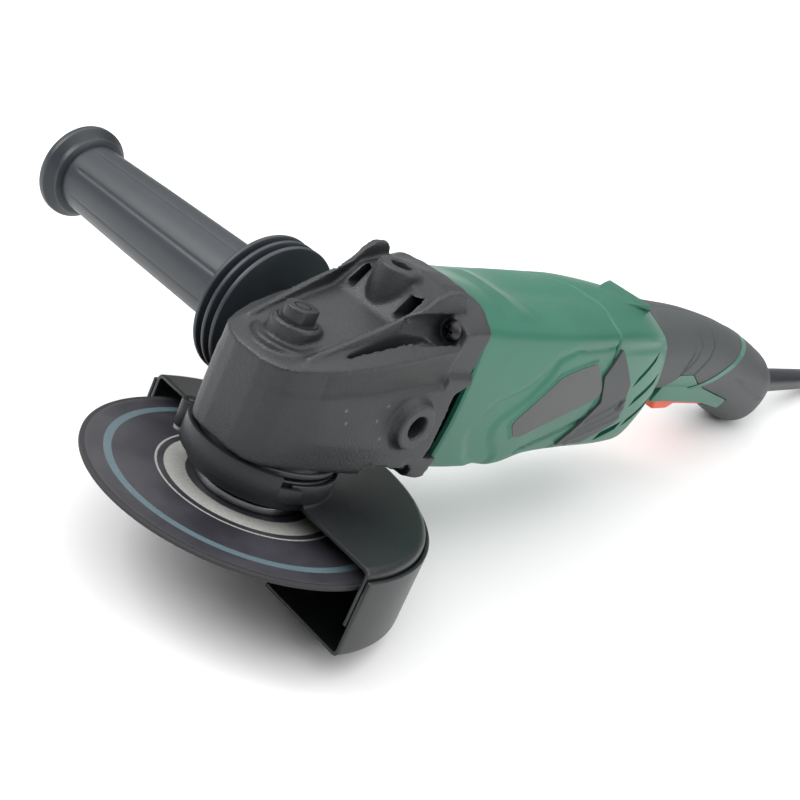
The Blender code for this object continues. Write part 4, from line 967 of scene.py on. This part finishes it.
def make_guard():
    top = GUARD_TOP
    corner = bend(GUARD_RADIUS - 3.0, top - 3.0, 3.0, 1, 7)
    inner = bend(GUARD_RADIUS - 3.0, top - 3.0, 3.0 - SHEET, 1, 5)[::-1]
    section = [(25.4, top), *corner, (GUARD_RADIUS, -60.0), (GUARD_RADIUS - SHEET, -60.0), *inner,
               (25.4, top - SHEET)]
    steel = swept("guard_plate", section, GUARD_START, GUARD_STOP, 150)
    bevelled(steel, 0.4, 2)
    foot = top - SHEET - 0.5
    collar = [(24.4, foot), (26.2, foot), (26.2, -29), (25.8, -28.6), (24.8, -28.6), (24.4, -29)]
    fillet = [(25.0, top - 0.4), (30.0, top - 0.4), (28.2, top + 0.3), (26.9, top + 1.2), (26.0, top + 3.2),
              (25.0, top + 3.4)]
    carve(steel, turned("collar", collar, segments=120), swept("fillet", fillet, GUARD_START, GUARD_STOP),
          operation="UNION")
    show(steel, "black_steel", "guard", "upper_guard")
    low = COVER_BOTTOM
    corner = bend(COVER_RADIUS - 2.4, low + 2.4, 2.4, -1, 6)[::-1]
    inner = bend(COVER_RADIUS - 2.4, low + 2.4, 2.4 - SHEET, -1, 4)
    section = [(COVER_RADIUS, -41.0), *corner, (26.0, low), (26.0, low + SHEET), *inner,
               (COVER_RADIUS - SHEET, -41.0)]
    cover = bevelled(swept("guard_cover", section, GUARD_START, GUARD_STOP, 150), 0.4, 2)
    show(cover, "black_steel", "guard", "lower_guard_cover")
    band = box(26.5, 28.0, -36.4, -29.0)
    show(bevelled(swept("collar_band", band, -112.0, 112.0), 0.4, 2), "black_steel", "guard", "clamp_band")
    section = box(28.4, 30.2, -35.2, -26.0)
    lever = swept("lever", section, PIVOT_ANGLE + 6.0, 238.0, 80)
    pivot = on_axis("Z", (0, 0, 0), PIVOT_RADIUS, math.radians(PIVOT_ANGLE), 0.0)
    tab = swept("tab", box(28.6, 30.0, -35.0, -29.8), 236.0, 255.0, 20)
    eye = turned("eye", box(1.8, 3.6, -35.5, -25.8), at=pivot, segments=40)
    bridge = swept("bridge", box(28.6, 31.0, -34.8, -26.4), PIVOT_ANGLE + 4.0,
                   PIVOT_ANGLE + 9.0, 6)
    carve(lever, tab, eye, bridge, operation="UNION")
    lever.name = "quick_lever"
    show(bevelled(lever, 0.35, 2), "black_steel", "guard_clamp", "clamp_lever")


# ---------------------------------------------------------------- handle

HANDLE_STATIONS = [
    # x, top, bottom, half width
    (203, 33.8, -8.6, 20.6), (212, 33.8, -7.8, 20.6), (228, 33, -6.6, 20), (255, 31.2, -7.2, 19),
    (287, 26.8, -11.8, 18), (305, 23, -17.6, 17.6), (321, 19, -23.4, 17.4), (332, 15.6, -27, 17.2),
    (345, 11.2, -29, 16.6), (352, 7.6, -26.4, 15), (358.5, 4, -21, 12.8), (366, -0.4, -14, 9),
]
HANDLE_START = 209.3
RING_PLACE = 281.0
RING_WIDTH = 5.4
RING_SLANT = 1.95
END_SLANT = 0.45
TAIL_END = 355.0
EXIT_X = 362.0
EXIT_Z = -8.0
SLEEVE_END = 436.0
TRIGGER_PIVOT = (299, 0, -6.5)
HANDLE_X = np.arange(203.0, 366.01, 0.5)
HANDLE_SIZES = np.array([smooth_between(HANDLE_STATIONS, float(x)) for x in HANDLE_X])
GRIP_GROOVES = [
    [(243, 22, 0.1), (241.6, 17, 0.5), (238.8, 8.5, 0.6)],
    [(246.5, 26.8, 0.1), (249.7, 22.4, 0.4), (246, 14.7, 0.6), (240, 8.3, 0.6)],
    [(261.7, 28, 0.1), (263.6, 22, 0.4), (259.8, 15.3, 0.6), (253.4, 8.2, 0.6)],
]
PANEL = [(239.4, 7.2), (253, 7.2), (264.6, 1.6), (277, -2.4), (308.4, -9.8), (303.8, -14.8), (281, -12.4),
         (262, -12), (227, -12)]
PANEL_ROOM = [(239.1, 7.6), (253.2, 7.6), (264.8, 2), (277.1, -2), (309, -9.5), (303.4, -15.2), (301, -60),
              (195.6, -60)]
BRACKET = [(240.4, 5.6), (231.6, -8.8), (248, -9), (281, -10.6), (303.6, -14.4), (308.4, -9.8), (277, -2.6),
           (264.4, 1.2), (252.8, 5.6)]


def slant_at(place):
    """How far a handle section leans back: none at the cover, most at the green band, less at the tail."""
    rising = float(rise(place, HANDLE_START, RING_PLACE))
    fall = min(max((place - RING_PLACE - RING_WIDTH) / (TAIL_END - RING_PLACE - RING_WIDTH), 0.0), 1.0)
    return RING_SLANT * rising + (END_SLANT - RING_SLANT) * fall


def handle_ring(place, angles, inset=0.0, relief=None):
    """The leaning section at a place along the handle, for an array of angles."""
    slant = slant_at(place)
    c = np.cos(angles)
    s = np.sin(angles)
    c = np.sign(c) * np.abs(c) ** 0.85
    s = np.sign(s) * np.abs(s) ** 0.85
    top, bottom, _ = smooth_between(HANDLE_STATIONS, place)
    x = np.full(angles.shape, float(place))
    for _ in range(30):
        high, low, half = (np.interp(x, HANDLE_X, HANDLE_SIZES[:, n]) for n in range(3))
        y = (half - inset) * c
        z = (high + low) / 2.0 + ((high - low) / 2.0 - inset) * s
        x = place + slant * (z - (top + bottom) / 2.0)
    if relief:
        lift = relief(x, y, z)
        y = y + lift * c
        z = z + lift * s
    return [(float(a), float(b), float(d)) for a, b, d in zip(x, y, z)]


def grip_relief(x, y, z):
    """Three grooves between the grip's soft panels, which stand a little proud of each other."""
    lift = np.zeros(x.shape)
    for groove in GRIP_GROOVES:
        lift = lift - 0.8 * rise(inside_band(x, z, groove), -0.5, 0.6)
    return lift - 1.3 * (1.0 - rise(x, HANDLE_START + 0.6, HANDLE_START + 2.4))


def band_relief(x, y, z):
    """The green band stands a little proud of the grip."""
    return np.full(x.shape, 0.35)


def tail_relief(x, y, z):
    """A shallow channel along each side of the tail."""
    path = [(300, 5, 1), (322, -1, 2.2), (338, -7, 2.2), (349, -10, 1.2)]
    return -0.8 * rise(inside_band(x, z, path), -0.6, 1.6)


def shell_half(word, side):
    """Half of the grey handle, split down the middle."""
    angles = np.radians(np.linspace(-90.0, 90.0, 85))
    rings = []
    for place in np.concatenate((np.arange(HANDLE_START, RING_PLACE - GAP, 0.9), [RING_PLACE - GAP])):
        ring = handle_ring(place, angles, 0.0, grip_relief) + handle_ring(place, angles[::-1], WALL)
        rings.append([(x, side * max(y, 0.12), z) for x, y, z in ring])
    return loft(f"grip_shell_{word}", rings)


def bracket_room():
    outline = [(247.4, 5), (247.4, -60), (306, -60), (309.4, -9.4), (277.2, -1.4), (265.2, 5)]
    return prism("bracket_room", outline, -14.0, 14.0)


def handle_tube(name, places, inset, relief=None):
    """A hollow stretch of the handle."""
    angles = np.radians(np.linspace(0.0, 360.0, 145)[:-1])
    outer = [handle_ring(place, angles, 0.0, relief) for place in places]
    inner = [handle_ring(place, angles, inset) for place in places[::-1]]
    return loft(name, outer + inner, closed=True)


def make_handle():
    for word, side in (("left", 1), ("right", -1)):
        shell = carve(shell_half(word, side), bracket_room(), prism("panel_room", PANEL_ROOM, -30.0, 30.0))
        show(shell, "grey_grip", "machine", f"handle_shell_{word}")
    steps = RING_PLACE + np.array([0.0, 0.35, 0.9, 1.8, 2.7, 3.6, 4.5, 5.05, RING_WIDTH])
    band = handle_tube("green_band", steps, WALL, band_relief)
    bracket = bevelled(prism("bracket", rounded(BRACKET, 1.2), -15.2, 15.2), 0.8)
    panel = handle_tube("panel", np.arange(236.0, 334.0, 1.2), 5.0)
    carve(panel, prism("panel_outline", rounded(PANEL, 1.0), -30.0, 30.0), operation="INTERSECT")
    carve(band, bracket, panel, operation="UNION")
    opening = prism("opening", box(249.6, 304.8, -40.0, 12.0), -8.2, 8.2)
    carve(band, opening, rod("pivot_hole", 1.8, -11.6, 11.6, axis="Y", at=TRIGGER_PIVOT))
    show(band, "green_plastic", "machine", "handle_band")
    places = np.concatenate((np.arange(RING_PLACE + RING_WIDTH + GAP, TAIL_END, 1.1), [TAIL_END]))
    tail = handle_tube("grip_tail", places, WALL, tail_relief)
    carve(tail, bracket_room(), prism("panel_room", PANEL_ROOM, -30.0, 30.0))
    show(tail, "grey_grip", "machine", "handle_tail")
    places = TAIL_END + np.array([GAP, 0.7, 1.6, 2.6, 3.6, 4.5, 5.0])
    ring = handle_tube("green_end_ring", places, 4.6)
    carve(ring, rod("sleeve_way", 7.4, 340.0, 400.0, axis="X", at=(0.0, 0.0, EXIT_Z)))
    show(ring, "green_plastic", "machine", "handle_end_ring")
    outline = rounded([(252.6, 0.4), (252, -9), (253.2, -18.1), (266.6, -18.1), (272, -15.5), (301, -16.6),
                       (303, -15), (303, -3.6), (296, -1.4)], 1.2)
    trigger = bevelled(prism("trigger_lever_bar", outline, -7.6, 7.6), 0.9)
    carve(trigger, rod("bore", 1.8, -20.0, 20.0, axis="Y", at=TRIGGER_PIVOT))
    show(trigger, "orange_plastic", "trigger_lever", "trigger")
    start = EXIT_X - 19.0
    profile = [(0.0, start), (8.4, start), (8.4, start + 3.0), (6.8, start + 3.0), (6.6, EXIT_X + 6.0)]
    profile += [(5.5, SLEEVE_END - 1.4), (5.3, SLEEVE_END - 0.4), (4.8, SLEEVE_END), (0.0, SLEEVE_END)]
    sleeve = turned("cord_sleeve", profile, axis="X", at=(0.0, 0.0, EXIT_Z), segments=64)
    show(sleeve, "black_rubber", "machine", "strain_relief")


# ---------------------------------------------------------------- side handle

FLUTES = 8


def grip_shape(angle, along):
    """Long raised panels with narrow channels between them, fading out towards both ends of the grip."""
    share = (angle * FLUTES / (2.0 * math.pi)) % 1.0
    channel = 1.0 - float(rise(abs(share - 0.5), 0.015, 0.06))
    length = float(rise(along, 66.0, 70.0) * (1.0 - rise(along, 160.0, 165.0)))
    return -0.35 * channel * length


def make_side_handle():
    x, y, z = SIDE_BOSS
    face = y + 0.6
    profile = [(4.3, face), (11.4, face), (12.6, face + 1.2), (12.6, 46.6), (29, 46.6), (29.7, 46.9),
               (30, 47.4), (30, 48.4), (29.7, 48.8), (29.2, 49), (19, 49), (19, 51.6), (29.2, 51.6),
               (29.8, 51.9), (30, 52.4), (30, 53), (29.8, 53.5), (29.2, 53.8), (19, 53.8), (19, 56.4),
               (29.2, 56.4), (29.8, 56.7), (30, 57.2), (30, 57.8), (29.8, 58.3), (29.2, 58.6), (18.9, 58.6),
               (17.8, 59.4), (17.2, 61)]
    profile += [(float(np.interp(a, [61.0, 72.0, 130.0, 168.0], [17.2, 17.0, 15.9, 14.9])), float(a))
                for a in np.arange(62.0, 168.5, 1.0)]
    profile += [(14.8, 169.2), (16.2, 169.5), (17.3, 170.1), (17.4, 172.4), (18, 173.1), (19.8, 174),
                (20.5, 174.7), (20.6, 175.4), (20.6, 177), (20.3, 177.8), (19.5, 178.3), (18.6, 178.4),
                (17.6, 178.4), (17.2, 177.6), (0, 177.6), (0, 64), (4.3, 64)]
    grip = turned("side_grip_body", profile, axis="Y", at=(x, 0.0, z), segments=192, shape=grip_shape)
    cutters = []
    for k in range(4):
        angle = math.radians(40.0 + 90.0 * k)
        c = math.cos(angle)
        s = math.sin(angle)
        corners = box(15.0, 22.0, -0.5, 0.5)
        ring = [(x + a * s + b * c, z + a * c - b * s) for a, b in corners]
        cutters.append(prism("slot", ring, 62.6, 66.4))
    carve(grip, *cutters)
    show(grip, "blue_grey_plastic", "side_grip", "side_handle_grip")


def make_plug():
    """The plug's CAD solid, with its flat faces joined up and its edges rounded."""
    source = frame["nodes"]["plug"].data
    work = bmesh.new()
    work.from_mesh(source)
    bmesh.ops.dissolve_limit(work, angle_limit=math.radians(2.0), verts=work.verts, edges=work.edges)
    mesh = bpy.data.meshes.new("mains_plug")
    work.to_mesh(mesh)
    work.free()
    plug = bpy.data.objects.new("mains_plug", mesh)
    bpy.context.scene.collection.objects.link(plug)
    bevelled(plug, 1.2)
    show(plug, "black_rubber", "machine", "plug")


# ---------------------------------------------------------------- lead

CORD_RADIUS = 3.8
GROUND_REST = 4.1
CORD_START = (284.6, -55.1, 6.9)
COIL_CENTRE = (377, -116.6)
COIL_OUTER_TURN = 55.6
COIL_INNER_TURN = 32.6
COIL_TURNS = 6.25
LAYER_RISE = 7.7
PLUG_REACH = 86.0
PLUG_TAIL = 24.0
PLUG_HEIGHT = 14.0


def smooth_path(marks, steps=5):
    """A Catmull-Rom curve through the marks."""
    ends = [marks[0], *marks, marks[-1]]
    path = []
    for p0, p1, p2, p3 in zip(ends, ends[1:], ends[2:], ends[3:]):
        for k in range(steps):
            t = k / steps
            path.append(tuple(
                0.5 * (2 * b + (c - a) * t + (2 * a - 5 * b + 4 * c - d) * t * t
                       + (3 * b - a - 3 * c + d) * t ** 3)
                for a, b, c, d in zip(p0, p1, p2, p3)
            ))
    path.append(marks[-1])
    return path


def coil_turns():
    """The turns of the coil: inwards on the ground, a step up, and outwards on top, all clockwise."""
    points = []
    steps = int(COIL_TURNS * 28)
    lower = 3.0
    for k in range(steps + 1):
        turn = COIL_TURNS * k / steps
        angle = math.pi / 2.0 - 2.0 * math.pi * turn
        if turn <= lower:
            radius = COIL_OUTER_TURN + (COIL_INNER_TURN - COIL_OUTER_TURN) * turn / lower
        else:
            share = (turn - lower) / (COIL_TURNS - lower)
            radius = COIL_INNER_TURN + (COIL_OUTER_TURN - COIL_INNER_TURN) * share
        climb = min(max((turn - lower + 0.25) / 0.5, 0.0), 1.0)
        height = GROUND_REST + LAYER_RISE * climb * climb * (3.0 - 2.0 * climb)
        x, y = COIL_CENTRE
        points.append((x + radius * math.cos(angle), y + radius * math.sin(angle), height))
    return points


def make_cord():
    x, y, z = CORD_START
    coil_x, coil_y = COIL_CENTRE
    plug_x = coil_x + COIL_OUTER_TURN
    tail = coil_y - PLUG_REACH + PLUG_TAIL
    lead = [CORD_START, (x + 10.0, y, z - 1.4), (x + 26.0, y - 1.0, GROUND_REST),
            (x + 46.0, y - 3.6, GROUND_REST), (coil_x - 30.0, coil_y + COIL_OUTER_TURN, GROUND_REST),
            (coil_x, coil_y + COIL_OUTER_TURN, GROUND_REST)]
    leave = [(plug_x, coil_y, GROUND_REST + LAYER_RISE), (plug_x, coil_y - 30.0, 9.0),
             (plug_x + 0.6, coil_y - 46.0, 6.2), (plug_x, tail + 0.3, PLUG_HEIGHT / 2.0)]
    path = smooth_path(lead) + coil_turns()[1:] + smooth_path(leave)[1:]
    curve = bpy.data.curves.new("cord", "CURVE")
    curve.dimensions = "3D"
    curve.bevel_depth = CORD_RADIUS * MM
    curve.bevel_resolution = 6
    curve.use_fill_caps = True
    line = curve.splines.new("POLY")
    line.points.add(len(path) - 1)
    for spot, point in zip(line.points, path):
        spot.co = (*(Vector(point) * MM), 1.0)
    curve.materials.append(MATERIALS["black_rubber"])
    cord = bpy.data.objects.new("cord", curve)
    bpy.context.scene.collection.objects.link(cord)
    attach(cord, "machine")
    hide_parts("cord_lead", "cord_coil", "cord_end")


# ---------------------------------------------------------------- assembly

def main():
    make_camera()
    make_studio()
    make_materials()
    dress_frame()
    make_cord()
    make_housings()
    make_gear_case()
    make_head_fittings()
    make_disc()
    make_guard()
    make_handle()
    make_side_handle()
    make_plug()


main()
